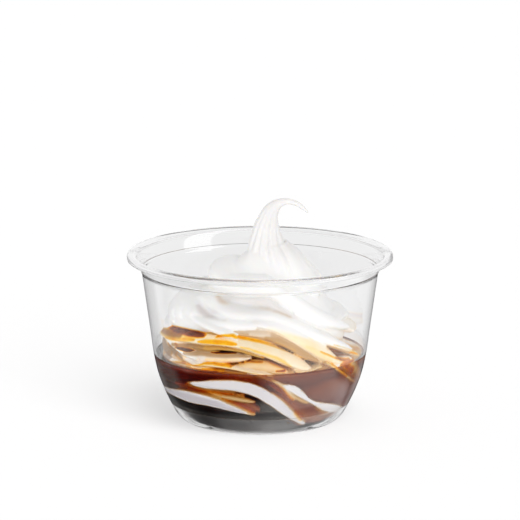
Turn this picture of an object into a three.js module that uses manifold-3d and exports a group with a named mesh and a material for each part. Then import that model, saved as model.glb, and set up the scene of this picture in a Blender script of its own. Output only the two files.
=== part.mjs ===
// Affogato: white soft serve piped into a clear plastic dessert cup, with
// coffee poured round it.  Millimetres, +Z up, origin at the middle of the
// foot, the front of the dessert towards -Y.
import * as THREE from 'three';
import { mergeVertices } from 'three/addons/utils/BufferGeometryUtils.js';
import Module from 'manifold-3d';

// ---------------------------------------------------------------- sizes (mm)
const RIM_DIAMETER = 98.0; // outside of the rolled lip
const CUP_HEIGHT = 62.5; // foot to crown of the lip
const FOOT_DIAMETER = 54.6; // outside of the flat foot ring
const WALL = 0.7; // moulded wall
const FLOOR_TOP = 1.6; // inside of the floor over the foot plane
const FLOOR_UNDER = 1.0; // recess under the floor, inside the foot ring
const SHOULDER_Z = 55.6; // crease where the wall steps out to the lip
const LIQUID_LEVEL = 25.0; // coffee surface
const CLEARANCE = 0.3; // gap kept between pieces that touch
const PEAK_Z = 82.4; // top of the curl
const CURL_REACH = 17.4; // how far the tip hangs to the right
const SHIFT = 1.5; // the piped mass sits a little to the right
const CUP_SEGMENTS = 36;
const CORE_SEGMENTS = 18;
const RIBBON_SIDES = 6;
const RIBBON_STEP = 22; // degrees of turn in one step along a ribbon
const PEAK_SIDES = 16;
const PEAK_STEPS = 11;
const PEAK_FLUTES = 8;

const RIM_R = RIM_DIAMETER / 2;
const FOOT_R = FOOT_DIAMETER / 2;
const rad = THREE.MathUtils.degToRad;

// ------------------------------------------------------------------ profiles
// Outside of the cup wall from the foot up to the shoulder: a bowl that
// straightens into a slight taper.
const outer = [
  [FOOT_R, 0.0],
  [29.2, 0.8],
  [31.3, 3.1],
  [33.3, 6.8],
  [35.9, 12.5],
  [38.1, 19.0],
  [39.6, 26.6],
  [40.3, 32.0],
  [43.4, SHOULDER_Z - 1.5],
];
// Inside of the same wall; the corner over the foot is thicker.
const inner = [
  [23.4, FLOOR_TOP],
  [26.9, 2.1],
  [29.9, 3.7],
  [32.5, 7.0],
  [35.2, 12.5],
  [37.4, 19.0],
  [38.9, 26.6],
  [39.6, 32.0],
  [42.7, SHOULDER_Z - 1.3],
];
// Lip: a stepped shoulder, then a short flange rolled over at its edge.
const lip = [
  [43.7, SHOULDER_Z],
  [44.8, SHOULDER_Z + 1.2],
  [45.5, CUP_HEIGHT - 2.7],
  [47.6, CUP_HEIGHT - 2.5],
  [RIM_R, CUP_HEIGHT - 1.1],
  [48.5, CUP_HEIGHT - 0.3],
  [47.7, CUP_HEIGHT],
  [45.8, CUP_HEIGHT - 0.8],
  [44.8, CUP_HEIGHT - 2.6],
  [44.1, SHOULDER_Z + 1.4],
  [43.0, SHOULDER_Z + 0.2],
];

function along(table, z) {
  if (z <= table[0][1]) return table[0][0];
  for (let i = 1; i < table.length; i++) {
    const [r0, z0] = table[i - 1];
    const [r1, z1] = table[i];
    if (z <= z1) return r0 + ((r1 - r0) * (z - z0)) / (z1 - z0);
  }
  return table[table.length - 1][0];
}
const innerRadius = (z) => along(inner, z);

// Crest of the piped mass: against the wall below the coffee, then a dome
// that rises to the peak.
const domeTable = [
  [38.4, 25.0], [38.3, 30.0], [37.6, 36.0], [36.0, 41.0], [32.0, 46.0],
  [29.0, 48.5], [22.0, 54.5], [19.0, 58.0], [13.0, 61.0], [8.5, 66.0],
];
function domeRadius(z) {
  const wall = innerRadius(z);
  return z < 25 ? wall : Math.min(wall, along(domeTable, z));
}
const shiftAt = (z) => SHIFT * THREE.MathUtils.smoothstep(z, 14, 28);

// ------------------------------------------------------------ solid building
const wasm = await Module();
wasm.setup();

function closed(geometry) {
  geometry.deleteAttribute('normal');
  geometry.deleteAttribute('uv');
  const g = mergeVertices(geometry, 1e-4);
  const p = g.attributes.position;
  const tri = [];
  let volume = 0;
  const a = new THREE.Vector3();
  const b = new THREE.Vector3();
  const c = new THREE.Vector3();
  for (let i = 0; i < g.index.count; i += 3) {
    const [i0, i1, i2] = [g.index.getX(i), g.index.getX(i + 1), g.index.getX(i + 2)];
    if (i0 === i1 || i1 === i2 || i2 === i0) continue;
    tri.push(i0, i1, i2);
    a.fromBufferAttribute(p, i0);
    b.fromBufferAttribute(p, i1);
    c.fromBufferAttribute(p, i2);
    volume += a.dot(b.cross(c));
  }
  if (volume < 0) {
    for (let i = 0; i < tri.length; i += 3) [tri[i + 1], tri[i + 2]] = [tri[i + 2], tri[i + 1]];
  }
  g.setIndex(tri);
  return g;
}
function solid(geometry) {
  const g = closed(geometry);
  return new wasm.Manifold(new wasm.Mesh({
    numProp: 3,
    vertProperties: new Float32Array(g.attributes.position.array),
    triVerts: new Uint32Array(g.index.array),
  }));
}
function fromSolid(manifold) {
  const mesh = manifold.getMesh();
  const g = new THREE.BufferGeometry();
  g.setAttribute('position', new THREE.BufferAttribute(new Float32Array(mesh.vertProperties), 3));
  g.setIndex(new THREE.BufferAttribute(new Uint32Array(mesh.triVerts), 1));
  g.computeVertexNormals();
  return g;
}
// A turned shape about Z from [radius, height] pairs.
function turned(profile, segments) {
  const g = new THREE.LatheGeometry(profile.map(([r, z]) => new THREE.Vector2(r, z)), segments);
  return g.rotateX(Math.PI / 2);
}
function largestBody(manifold) {
  return manifold.decompose().sort((a, b) => b.volume() - a.volume())[0];
}

// ----------------------------------------------------------------------- cup
const cupProfile = [
  [0, FLOOR_UNDER], [22.6, FLOOR_UNDER], [24.4, 0.4], [25.2, 0.0],
  ...outer, ...lip, ...[...inner].reverse(), [0, FLOOR_TOP],
];

// --------------------------------------------------------------- soft serve
// Core that the ribbons lie on.
function coreProfile(grow) {
  const rows = [];
  const depth = 5.2 - grow;
  for (const z of [4, 8, 13, 18, 23, 28, 33, 38, 42, 46, 50, 54, 58]) {
    rows.push([Math.max(3, domeRadius(z) - depth), z]);
  }
  const floor = FLOOR_TOP + CLEARANCE - grow;
  return [[0, floor], [rows[0][0] - 3, floor], ...rows, [4 + grow, 64], [0, 64]];
}

// A ribbon runs round the mass from one angle to another.  z holds its height
// at even steps on the way, w and t its half width and half thickness, out
// how far its face stands proud of the crest (negative: sunk behind it).
// Angle 0 is the front, positive to the right.
const front = [
  { from: -128, to: -4, z: [13.2, 12.6, 12.4, 11.4, 7.9], w: 2.9, t: 3.6, out: 0.8 },
  { from: -55, to: 36, z: [20.1, 19.8, 18.2, 9.8, 2.6], w: 3.4, t: 3.8, out: 0.9 },
  { from: 6, to: 74, z: [21.2, 17.6, 12.0, 8.2, 4.2], w: 2.5, t: 3.6, out: 0.8 },
  { from: 34, to: 76, z: [28.4, 22.6, 17.6, 12.8], w: 1.8, t: 2.6, out: -0.4 },
  { from: -100, to: 29, z: [32.4, 34.4, 35.9, 34.2, 26.2], w: 2.6, t: 3.6, out: -1.2 },
  { from: -34, to: 36, z: [38.6, 39.4, 37.6, 26.6], w: 2.0, t: 3.2, out: -2.6 },
  { from: -18, to: 62, z: [43.2, 42.0, 36.4, 25.4], w: 3.6, t: 4.2, out: -0.8 },
  { from: -58, to: 74, z: [48.2, 46.2, 44.2, 38.4, 28.6], w: 3.3, t: 4.0, out: -0.9 },
  { from: -66, to: 16, z: [28.8, 28.4, 28.0, 27.4, 24.4], w: 2.1, t: 3.0, out: -3.2 },
  { from: -120, to: -50, z: [40.0, 41.4, 43.0, 46.6], w: 5.2, t: 4.6, out: -0.4 },
  { from: -52, to: 78, z: [52.2, 53.0, 50.6, 44.0, 35.0], w: 4.6, t: 5.0, out: -1.4 },
];
// The same piping goes on round the sides and the back: helical folds that
// start flat and then run down steeply.
function helix(from, span, top, drop, w, t, out) {
  const z = [0, 0.25, 0.5, 0.75, 1].map((u) => top - drop * Math.pow(u, 1.9));
  return { from, to: from + span, z, w, t, out };
}
const back = [];
for (let k = 0; k < 4; k++) {
  const wobble = Math.sin(2.3 * k + 0.6);
  back.push(helix(66 + 46 * k, 92, 21.0 + 1.2 * wobble, 18.2, 3.2 + 0.4 * wobble, 3.8, 0.8));
}
for (let k = 0; k < 4; k++) {
  const wobble = Math.sin(1.7 * k + 1.1);
  back.push(helix(50 + 52 * k, 116, 38.0 + 1.6 * wobble, 13.5, 3.6 - 0.4 * wobble, 4.0, -0.9));
}
for (let k = 0; k < 3; k++) {
  back.push(helix(52 + 72 * k, 126, 50.4 - 0.9 * (k % 2), 11.5, 4.4, 4.6, -0.8));
}
// Last turn, coiled round the foot of the peak.
back.push({ from: -190, to: -20, z: [53.0, 55.4, 55.6, 53.6, 51.2], w: 5.0, t: 5.2, out: -0.6 });
back.push({ from: 10, to: 190, z: [55.0, 54.8, 54.0, 53.6, 53.0], w: 4.8, t: 5.0, out: -0.8 });

function ribbonSolid(ribbon, grow) {
  const at = (u) => {
    const n = ribbon.z.length - 1;
    const f = THREE.MathUtils.clamp(u, 0, 1) * n;
    const i = Math.min(n - 1, Math.floor(f));
    const z = THREE.MathUtils.lerp(ribbon.z[i], ribbon.z[i + 1],
      THREE.MathUtils.smoothstep(f - i, -0.35, 1.35));
    const angle = rad(THREE.MathUtils.lerp(ribbon.from, ribbon.to, u));
    const r = Math.max(2, domeRadius(z) + ribbon.out - ribbon.t);
    return new THREE.Vector3(shiftAt(z) + r * Math.sin(angle), -r * Math.cos(angle), z);
  };
  const steps = Math.max(4, Math.round((ribbon.to - ribbon.from) / RIBBON_STEP));
  const curve = new THREE.CatmullRomCurve3(
    Array.from({ length: steps + 1 }, (_, i) => at(i / steps)));
  const g = new THREE.CylinderGeometry(1, 1, 1, RIBBON_SIDES, steps);
  const p = g.attributes.position;
  const v = new THREE.Vector3();
  for (let i = 0; i < p.count; i++) {
    v.fromBufferAttribute(p, i);
    const u = THREE.MathUtils.clamp(0.5 - v.y, 0, 1);
    const centre = curve.getPoint(u);
    const tangent = curve.getTangent(u);
    const outward = new THREE.Vector3(centre.x - shiftAt(centre.z), centre.y, 0).normalize();
    outward.addScaledVector(tangent, -outward.dot(tangent)).normalize();
    const across = new THREE.Vector3().crossVectors(tangent, outward);
    const taper = 0.3 + 0.7 * Math.pow(Math.sin(Math.PI * THREE.MathUtils.lerp(0.04, 0.96, u)), 0.7);
    centre.addScaledVector(outward, v.x * (ribbon.t * taper + grow));
    centre.addScaledVector(across, v.z * (ribbon.w * taper + grow));
    p.setXYZ(i, centre.x, centre.y, centre.z);
  }
  return solid(g);
}

// Fluted peak: it leans a little, then bends over into a thin curl.
const spine = new THREE.CatmullRomCurve3([
  [0.6, 0, 48], [1.4, 0, 58], [2.3, 0, 66], [2.7, 0, 72], [4.1, 0, 77.4],
  [7.2, 0, PEAK_Z - 1.6], [11.2, 0, PEAK_Z - 1.2], [14.8, 0, PEAK_Z - 2.9],
  [CURL_REACH, 0, PEAK_Z - 4.7],
].map(([x, y, z]) => new THREE.Vector3(x, y, z)));
const peakRadius = [[15.0, 0], [10.8, 0.125], [6.6, 0.25], [4.4, 0.375], [2.7, 0.5],
  [1.5, 0.625], [0.95, 0.75], [0.65, 0.875], [0.3, 1]];
function peakSolid(grow) {
  const g = new THREE.CylinderGeometry(1, 1, 1, PEAK_SIDES, PEAK_STEPS);
  const p = g.attributes.position;
  const v = new THREE.Vector3();
  for (let i = 0; i < p.count; i++) {
    v.fromBufferAttribute(p, i);
    const u = THREE.MathUtils.clamp(v.y + 0.5, 0, 1);
    const centre = spine.getPoint(u);
    const tangent = spine.getTangent(u);
    const depth = new THREE.Vector3(0, 1, 0);
    const side = new THREE.Vector3().crossVectors(depth, tangent).normalize();
    const angle = Math.atan2(v.z, v.x);
    const flute = 1 + 0.09 * Math.cos(PEAK_FLUTES * angle + 5 * u)
      * THREE.MathUtils.smoothstep(u, 0.05, 0.2) * Math.min(1, 2 * (1 - u));
    const r = along(peakRadius, u) * flute + grow;
    centre.addScaledVector(side, v.x * r);
    centre.addScaledVector(depth, v.z * r);
    p.setXYZ(i, centre.x, centre.y, centre.z);
  }
  return solid(g);
}

function softServe(grow) {
  const parts = [solid(turned(coreProfile(grow), CORE_SEGMENTS)), peakSolid(grow)];
  for (const ribbon of [...front, ...back]) parts.push(ribbonSolid(ribbon, grow));
  return parts.reduce((mass, part) => mass.add(part));
}

// Room inside the cup, a clearance away from the wall and floor.
function room(top) {
  const rows = [];
  for (const [r, z] of inner) if (z < top) rows.push([r - CLEARANCE, z + CLEARANCE * 0.6]);
  const last = rows[rows.length - 1];
  if (top - last[1] > 0.4) rows.push([innerRadius(top) - CLEARANCE, top]);
  else last[1] = top;
  rows[0][1] = FLOOR_TOP + CLEARANCE;
  return [[0, FLOOR_TOP + CLEARANCE], ...rows];
}
const dessertRoom = room(54);
dessertRoom.push([42, 56], [30, 100], [0, 100]);
const liquidRoom = room(LIQUID_LEVEL);
liquidRoom.push([0, LIQUID_LEVEL]);

const iceCream = largestBody(
  softServe(0).intersect(solid(turned(dessertRoom, CUP_SEGMENTS))));
const coffeeBody = largestBody(
  solid(turned(liquidRoom, CUP_SEGMENTS)).subtract(softServe(CLEARANCE)));

// -------------------------------------------------------------------- pieces
const clearPlastic = new THREE.MeshStandardMaterial({
  name: 'clear_plastic', color: 0xf2f3f5, roughness: 0.05, metalness: 0,
  transparent: true, opacity: 0.25,
});
const cream = new THREE.MeshStandardMaterial({
  name: 'soft_serve_cream', color: 0xf7f4ee, roughness: 0.5, metalness: 0,
});
const liquid = new THREE.MeshStandardMaterial({
  name: 'coffee_liquid', color: 0x2a1710, roughness: 0.08, metalness: 0,
});

function piece(name, geometry, material) {
  const mesh = new THREE.Mesh(geometry, material);
  mesh.name = name;
  return mesh;
}
const group = new THREE.Group();
group.add(piece('cup', closed(turned(cupProfile, CUP_SEGMENTS)), clearPlastic));
group.add(piece('soft_serve', fromSolid(iceCream), cream));
group.add(piece('coffee', fromSolid(coffeeBody), liquid));

export default group;
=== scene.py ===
"""Affogato in a clear dessert cup: the looks.

The cup, the piped soft serve and the coffee are modelled as fine meshes in the
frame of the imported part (metres, +Z up, front towards -Y).
"""

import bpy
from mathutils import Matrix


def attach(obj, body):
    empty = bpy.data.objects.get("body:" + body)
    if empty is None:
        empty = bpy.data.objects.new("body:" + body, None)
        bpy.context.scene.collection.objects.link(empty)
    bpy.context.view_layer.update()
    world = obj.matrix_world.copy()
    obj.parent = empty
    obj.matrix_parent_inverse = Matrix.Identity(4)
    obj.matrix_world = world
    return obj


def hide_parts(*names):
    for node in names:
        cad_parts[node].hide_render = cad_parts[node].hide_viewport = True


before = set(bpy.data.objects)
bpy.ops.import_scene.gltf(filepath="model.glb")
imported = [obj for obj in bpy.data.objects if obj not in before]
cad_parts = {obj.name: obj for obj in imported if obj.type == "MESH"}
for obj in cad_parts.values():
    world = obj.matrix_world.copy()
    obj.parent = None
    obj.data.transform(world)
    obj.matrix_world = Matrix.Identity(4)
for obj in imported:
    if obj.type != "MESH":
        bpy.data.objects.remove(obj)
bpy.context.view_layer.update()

import math
import bpy
import numpy as np
from mathutils import Vector

MM = 0.001

# ------------------------------------------------------------------ sizes (mm)
CUP_H = 62.5
RIM_R = 49.0
FOOT_R = 27.3
FLOOR_TOP = 0.6
CREAM_FOOT = 1.52      # underside of the piped mass
SHOULDER = 55.6
LEVEL = 25.0          # coffee surface
SHIFT = 1.5           # the piped mass stands a little to the right
INTO_WALL_CREAM = 0.24
INTO_WALL_COFFEE = 0.10

OUTER = [(26.9, 0.0), (27.75, 0.2), (29.1, 0.83), (30.3, 1.8), (31.3, 3.1), (32.4, 5.0), (33.3, 6.8),
         (34.7, 9.7), (35.9, 12.5), (37.1, 15.7), (38.1, 19.0), (38.9, 22.6), (39.6, 26.6),
         (40.02, 29.6), (40.3, 32.0), (41.2, 38.5), (42.3, 46.3), (43.4, 54.1)]
INNER = [(24.0, 0.6), (25.5, 0.9), (26.6, 1.55), (27.75, 2.65), (29.0, 4.05), (30.5, 5.8), (32.0, 7.5),
         (33.85, 10.0), (35.2, 12.5), (36.4, 15.7), (37.4, 19.0), (38.2, 22.6), (38.9, 26.6),
         (39.32, 29.6), (39.6, 32.0), (40.5, 38.5), (41.6, 46.3), (42.7, 54.3)]


# ------------------------------------------------------------------ small maths
def hermite(xs, ys, x):
    """Smooth interpolation through (xs, ys) that doesn't overshoot."""
    xs = np.asarray(xs, float)
    ys = np.asarray(ys, float)
    h = np.diff(xs)
    d = np.diff(ys) / h
    m = np.zeros_like(ys)
    m[0], m[-1] = d[0], d[-1]
    for i in range(1, len(xs) - 1):
        if d[i - 1] * d[i] > 0:
            w1, w2 = 2 * h[i] + h[i - 1], h[i] + 2 * h[i - 1]
            m[i] = (w1 + w2) / (w1 / d[i - 1] + w2 / d[i])
    x = np.clip(x, xs[0], xs[-1])
    i = np.clip(np.searchsorted(xs, x, side="right") - 1, 0, len(xs) - 2)
    t = (x - xs[i]) / h[i]
    t2, t3 = t * t, t * t * t
    return ((2 * t3 - 3 * t2 + 1) * ys[i] + (t3 - 2 * t2 + t) * h[i] * m[i]
            + (-2 * t3 + 3 * t2) * ys[i + 1] + (t3 - t2) * h[i] * m[i + 1])


def smooth(a, b, x):
    t = np.clip((x - a) / (b - a), 0.0, 1.0)
    return t * t * (3 - 2 * t)


def smin(a, b, k):
    h = np.clip(0.5 + 0.5 * (b - a) / k, 0.0, 1.0)
    return b + (a - b) * h - k * h * (1 - h)


Z_TAB = np.linspace(0.0, 90.0, 1801)
RIN_TAB = hermite([p[1] for p in INNER], [p[0] for p in INNER], Z_TAB)
RIN_TAB[Z_TAB > 54.3] = 42.7


def r_in(z):
    return np.interp(z, Z_TAB, RIN_TAB)


def shift_at(z):
    return SHIFT * smooth(14.0, 28.0, z)


# crest of the piped mass over the coffee, and the core that the ribbons lie on
DOME = [(38.4, 25.0), (38.4, 29.0), (38.0, 33.0), (37.2, 37.0), (35.6, 41.0), (32.4, 45.6),
        (29.0, 48.5), (22.0, 54.5), (18.6, 58.0), (13.0, 61.5), (8.5, 66.0)]
DOME_TAB = np.interp(Z_TAB, [p[1] for p in DOME], [p[0] for p in DOME])
DOME_TAB = np.where(Z_TAB < 25.0, RIN_TAB, np.minimum(RIN_TAB, DOME_TAB))
_k = np.exp(-0.5 * (np.arange(-40, 41) / 14.0) ** 2)
DOME_TAB = np.where(Z_TAB < 26.0, DOME_TAB,
                    np.convolve(np.pad(DOME_TAB, 40, mode="edge"), _k / _k.sum(), mode="valid"))
CORE = [(15.0, 1.4), (17.0, 3.0), (20.5, 6.0), (26.0, 10.0), (31.4, 15.0), (33.6, 19.0), (34.9, 21.5), (35.8, 23.3), (36.3, 24.4),
        (35.4, 25.3), (32.2, 26.6), (29.0, 30.0), (31.4, 33.5), (33.2, 37.0), (31.6, 41.0),
        (28.0, 45.0), (22.5, 50.0), (16.5, 54.0), (11.0, 58.0), (7.5, 62.0), (4.0, 66.0)]
CORE_TAB = hermite([p[1] for p in CORE], [p[0] for p in CORE], Z_TAB)


def dome(z):
    return np.interp(z, Z_TAB, DOME_TAB)


def inset(ang, z):
    """How far the upper folds stand back from the wall on the right."""
    a = (ang - 92.0 + 180.0) % 360.0 - 180.0
    return 6.2 * np.exp(-(a / 40.0) ** 2) * smooth(29.0, 43.0, z) * (1.0 - 0.35 * smooth(48.0, 56.0, z))


# ------------------------------------------------------------------ ribbons
# Each ribbon of soft serve runs round the mass.  Rows are stations:
# angle (deg, 0 = front, + = right), height z, half width w, all in mm.
# t is its half thickness, out how far its face stands over the crest, tilt how
# much its lower edge stands proud of its upper edge, crest how far its ridge is
# moved to its lower edge, edge how sharp the ridge is (2 = round).
RIBBONS = {}


def ribbon(name, rows, t, out, tilt=0.0, crest=0.0, edge=2.0, film_and_shade=(0.0, 0.0, 0.0), milk_and_shade=0.0):
    a = np.array(rows, float)
    RIBBONS[name] = dict(a=a[:, 0], z=a[:, 1], w=a[:, 2],
                         out=a[:, 3] if a.shape[1] > 3 else np.full(len(a), float(out)),
                         t=t, tilt=tilt, crest=crest, edge=edge, film_and_shade=film_and_shade, milk_and_shade=milk_and_shade)


# bands pressed against the wall below the coffee's surface
ribbon("band_a", [(-128, 12.2, 0.4), (-116, 12.5, 1.1), (-98, 12.7, 1.3), (-80, 12.9, 1.2), (-67.6, 13.3, 1.4), (-56.6, 13.7, 2.0), (-45.3, 13.8, 2.5),
                  (-35.2, 13.7, 2.3), (-25.8, 13.0, 2.0), (-17.9, 11.7, 1.4), (-10.6, 10.4, 0.85), (-4, 9.0, 0.3)], t=3.2, out=0.9, tilt=-0.38, edge=3.0)
ribbon("band_b", [(-47, 19.7, 0.3), (-45.1, 19.7, 0.5), (-35.7, 19.9, 1.45), (-26.8, 20.5, 2.15), (-17.4, 20.8, 2.35), (-8.9, 20.1, 2.4), (-1.5, 18.5, 2.3),
                  (5.7, 15.7, 2.2), (12.2, 12.7, 2.05), (19.4, 9.0, 1.25), (25.4, 6.2, 0.7), (31, 4.2, 0.3)], t=3.4, out=1.0, tilt=-0.34, edge=3.0)
ribbon("band_c", [(11.6, 21.0, 0.3), (15.8, 19.9, 1.15), (20.2, 18.4, 1.45), (24.5, 16.6, 1.2), (29.3, 14.3, 0.75), (34.3, 12.5, 0.85),
                  (41.7, 10.6, 1.5), (50.5, 9.1, 1.7), (58.5, 7.9, 1.45), (68, 6.8, 0.8)], t=3.0, out=0.9, tilt=-0.36, edge=3.0)
# shallow shelves beside the bands, just behind the wall
ribbon("shelf_ab", [(-34, 17.8, 0.25), (-29.7, 17.2, 0.6), (-22.2, 16.2, 1.0), (-15.0, 15.6, 1.25), (-7.9, 15.0, 1.15), (-2.6, 14.5, 0.45)],
       t=2.4, out=-0.22, tilt=-0.34, edge=2.6)
ribbon("shelf_ab2", [(-60, 18.0, 0.8), (-48, 17.8, 1.8), (-36, 17.2, 2.2), (-24, 16.2, 2.4), (-12, 14.2, 2.2), (0, 11.4, 1.4)], t=2.4, out=-1.6, tilt=-0.34)
ribbon("shelf_a", [(-56, 16.0, 0.4), (-37.2, 16.0, 0.8), (-25.7, 15.2, 0.95), (-16.6, 13.2, 1.1), (-8.3, 11.1, 1.1), (-2.8, 9.7, 0.7)], t=2.2, out=-0.5, tilt=-0.1, edge=3.5)
ribbon("shelf_b1", [(-50, 19.0, 0.4), (-36.6, 17.9, 0.7), (-26.6, 17.6, 0.6), (-17.4, 17.6, 0.6), (-9.1, 16.7, 0.5)], t=2.2, out=-0.7, tilt=-0.7)
ribbon("shelf_b2", [(6, 18.0, 0.6), (12.2, 14.9, 1.1), (19.4, 10.8, 1.45), (25.4, 7.8, 1.6), (30.5, 5.7, 1.5), (35, 4.0, 0.6)],
       t=2.4, out=-0.25, tilt=-0.1, edge=3.5)
ribbon("shelf_bc", [(4, 21.2, 0.8), (11.6, 18.3, 1.6), (19, 14.2, 2.4), (27, 10.3, 2.6), (36, 7.3, 2.4), (46, 5.6, 1.8), (57, 4.2, 0.7)],
       t=2.4, out=-1.7, tilt=-0.4)
ribbon("shelf_c0", [(5.0, 23.1, 0.4), (9, 21.5, 0.85), (12.9, 19.6, 1.1), (17.2, 16.6, 1.0), (20.5, 14.7, 0.4)], t=2.2, out=-0.3, tilt=-0.5, edge=3.5)
ribbon("shelf_c1", [(13.1, 19.2, 0.4), (15.2, 18.2, 0.75), (18.7, 16.5, 0.9), (23.0, 14.8, 0.9), (27.3, 13.4, 0.75), (30.4, 12.6, 0.3)], t=2.2, out=-0.3,
       tilt=-0.35)
ribbon("shelf_c2", [(36, 10.6, 0.4), (45.2, 7.8, 0.8), (57.6, 5.6, 0.8), (66, 4.8, 0.4)], t=2.2, out=-0.9, tilt=-0.7)
ribbon("shelf_d", [(38, 27.2, 0.4), (41.9, 25.8, 0.6), (51.3, 22.3, 0.65), (63.2, 18.4, 0.7), (73, 16.0, 0.3)], t=1.8, out=-0.6, tilt=-0.28)
ribbon("shelf_e", [(40, 26.4, 0.8), (50, 25.2, 2.2), (58, 23.5, 3.9), (67, 20.9, 3.6), (78, 17.8, 2.6), (92, 13.6, 0.9)], t=3.0, out=-1.2, tilt=-0.28)
ribbon("shelf_f", [(12, 17.3, 2.0), (22, 14.2, 5.0), (34, 12.6, 7.8), (48, 12.6, 9.0), (64, 12.8, 8.6), (84, 12.8, 6.4), (104, 12.2, 2.0)],
       t=3.4, out=-2.1, tilt=-0.46, edge=2.6)
ribbon("shelf_g", [(-9, 25.4, 0.35), (-2.7, 24.5, 0.6), (2.5, 23.4, 0.7), (8.0, 21.8, 0.7), (13.2, 20.0, 0.45)], t=1.6, out=-1.1, tilt=-0.26)
ribbon("sub_rim", [(-125, 23.4, 1.2), (-100, 23.5, 1.9), (-75, 23.6, 2.1), (-50, 23.8, 2.1), (-35, 24.1, 1.7), (-24, 24.5, 0.9)], t=3.0, out=-1.25, tilt=-0.5)
ribbon("sub_left", [(-140, 19.5, 1.5), (-110, 20.2, 2.6), (-80, 20.6, 2.8), (-55, 21.0, 2.6), (-35, 22.0, 1.6)], t=3.0, out=-2.7, tilt=-0.3)

# folds over the coffee, as they lie at the front
ribbon("petal", [(-108, 31.6, 0.9, 0.0), (-86, 33.2, 2.0, 0.7), (-70, 34.2, 2.2, 0.5), (-56, 35.0, 2.0, -0.2), (-40, 35.6, 1.9, -0.7), (-26, 36.0, 1.8, -0.9),
                 (-14, 35.7, 2.1, -0.9), (-2, 34.0, 2.5, -0.9), (6, 32.2, 2.6, -0.9), (12, 30.5, 2.6, -0.9), (18, 28.8, 2.5, -0.9),
                 (24, 27.2, 1.9, -0.9), (28.5, 26.2, 0.5, -0.9)],
       t=3.2, out=-0.9, tilt=0.12, crest=0.45, edge=1.55, film_and_shade=(0.15, 0.13, 0.20), milk_and_shade=0.05)
# painted shade: this recessed fold is painted tan, partly milky coffee
ribbon("tan_fold", [(-31, 38.6, 0.5), (-20, 39.1, 1.1), (-9, 39.3, 1.5), (2, 38.5, 1.8), (10, 36.9, 2.0), (18, 34.5, 2.0),
                    (25, 31.4, 1.6), (32, 28.7, 0.95), (37, 26.9, 0.4)], t=2.8, out=-2.2, tilt=0.3, film_and_shade=(0.06, 0.10, 0.16), milk_and_shade=0.75)
ribbon("peach_fold", [(-17, 43.0, 0.6), (-6, 42.9, 1.7), (4, 42.2, 2.3), (12, 40.6, 3.0), (20, 38.2, 3.5), (28, 35.2, 3.7),
                      (36, 31.9, 3.4), (43, 28.9, 2.5), (48, 27.1, 1.4), (52, 26.0, 0.4)], t=3.4, out=-0.8, tilt=0.12, crest=0.35,
       edge=1.7, film_and_shade=(0.04, 0.14, 0.20))
ribbon("white_fold", [(-62, 48.6, 1.4), (-52, 48.3, 2.8), (-43.5, 47.8, 3.5), (-35.8, 47.1, 3.5), (-28.3, 46.2, 2.8), (-21.1, 45.8, 2.5), (-12.6, 45.6, 2.3),
                      (-3.8, 45.5, 2.25), (4.2, 45.1, 2.3), (11.7, 43.8, 2.25), (18.9, 42.2, 2.1), (25.9, 40.1, 2.15), (33.1, 37.8, 2.4),
                      (42.5, 35.3, 2.4), (52.5, 32.3, 1.9), (63.6, 28.9, 0.9), (68, 28.0, 0.4)], t=3.6, out=-0.5, tilt=0.3,
       film_and_shade=(0.0, 0.0, 0.03))
# painted shade: the strip under the upper lobe is painted faintly tan
ribbon("strip", [(-48, 50.3, 0.6), (-33.4, 49.3, 1.3), (-21.9, 48.9, 1.8), (-11, 48.9, 2.0), (-0.5, 48.9, 2.1), (6.4, 47.8, 1.6), (14.6, 46.0, 1.2),
                 (22.2, 43.9, 0.9), (31, 41.5, 0.8), (44, 38.6, 0.5)], t=2.6, out=-2.6, milk_and_shade=0.10)
ribbon("upper_lobe", [(-64, 52.6, 1.6), (-40, 53.7, 3.0), (-15, 53.8, 3.2), (0, 53.9, 3.2), (8, 52.6, 3.4), (16, 50.4, 3.6), (24, 47.8, 3.8), (33, 45.0, 3.9),
                      (42, 42.6, 3.6), (54, 40.4, 3.0), (66, 38.0, 2.0), (76, 36.4, 0.8)], t=4.6, out=-0.7, tilt=0.25)
ribbon("grey_fold", [(-100, 36.2, 1.2), (-80, 37.8, 2.3), (-60, 39.3, 2.9), (-40, 40.6, 3.0), (-20, 41.5, 2.5), (-5, 41.6, 1.2)],
       t=3.2, out=-1.6, tilt=0.05)
ribbon("left_lobe", [(-136, 40.4, 2.2), (-112, 42.2, 4.2), (-90, 43.4, 5.0), (-78, 43.9, 5.0), (-68, 44.3, 4.8), (-61, 44.6, 4.2), (-55, 44.6, 3.2),
                     (-49, 44.2, 1.8), (-44, 43.8, 0.7)], t=4.2, out=0.7, tilt=0.6)
ribbon("low_left", [(-130, 26.8, 1.6, -1.8), (-110, 27.8, 2.8, -1.3), (-92, 28.0, 2.6, -1.0), (-78, 27.9, 2.4, -1.1), (-66, 27.7, 2.2, -1.5),
                    (-56, 27.8, 2.4, -1.9), (-46, 28.2, 2.5, -2.0), (-36, 29.0, 2.25, -2.1), (-26, 29.6, 2.05, -2.2), (-16, 30.2, 1.7, -2.4),
                    (-8, 30.6, 0.7, -2.6)], t=3.0, out=-2.0, tilt=0.12, film_and_shade=(0.10, 0.06, 0.22), milk_and_shade=0.25)
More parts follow.
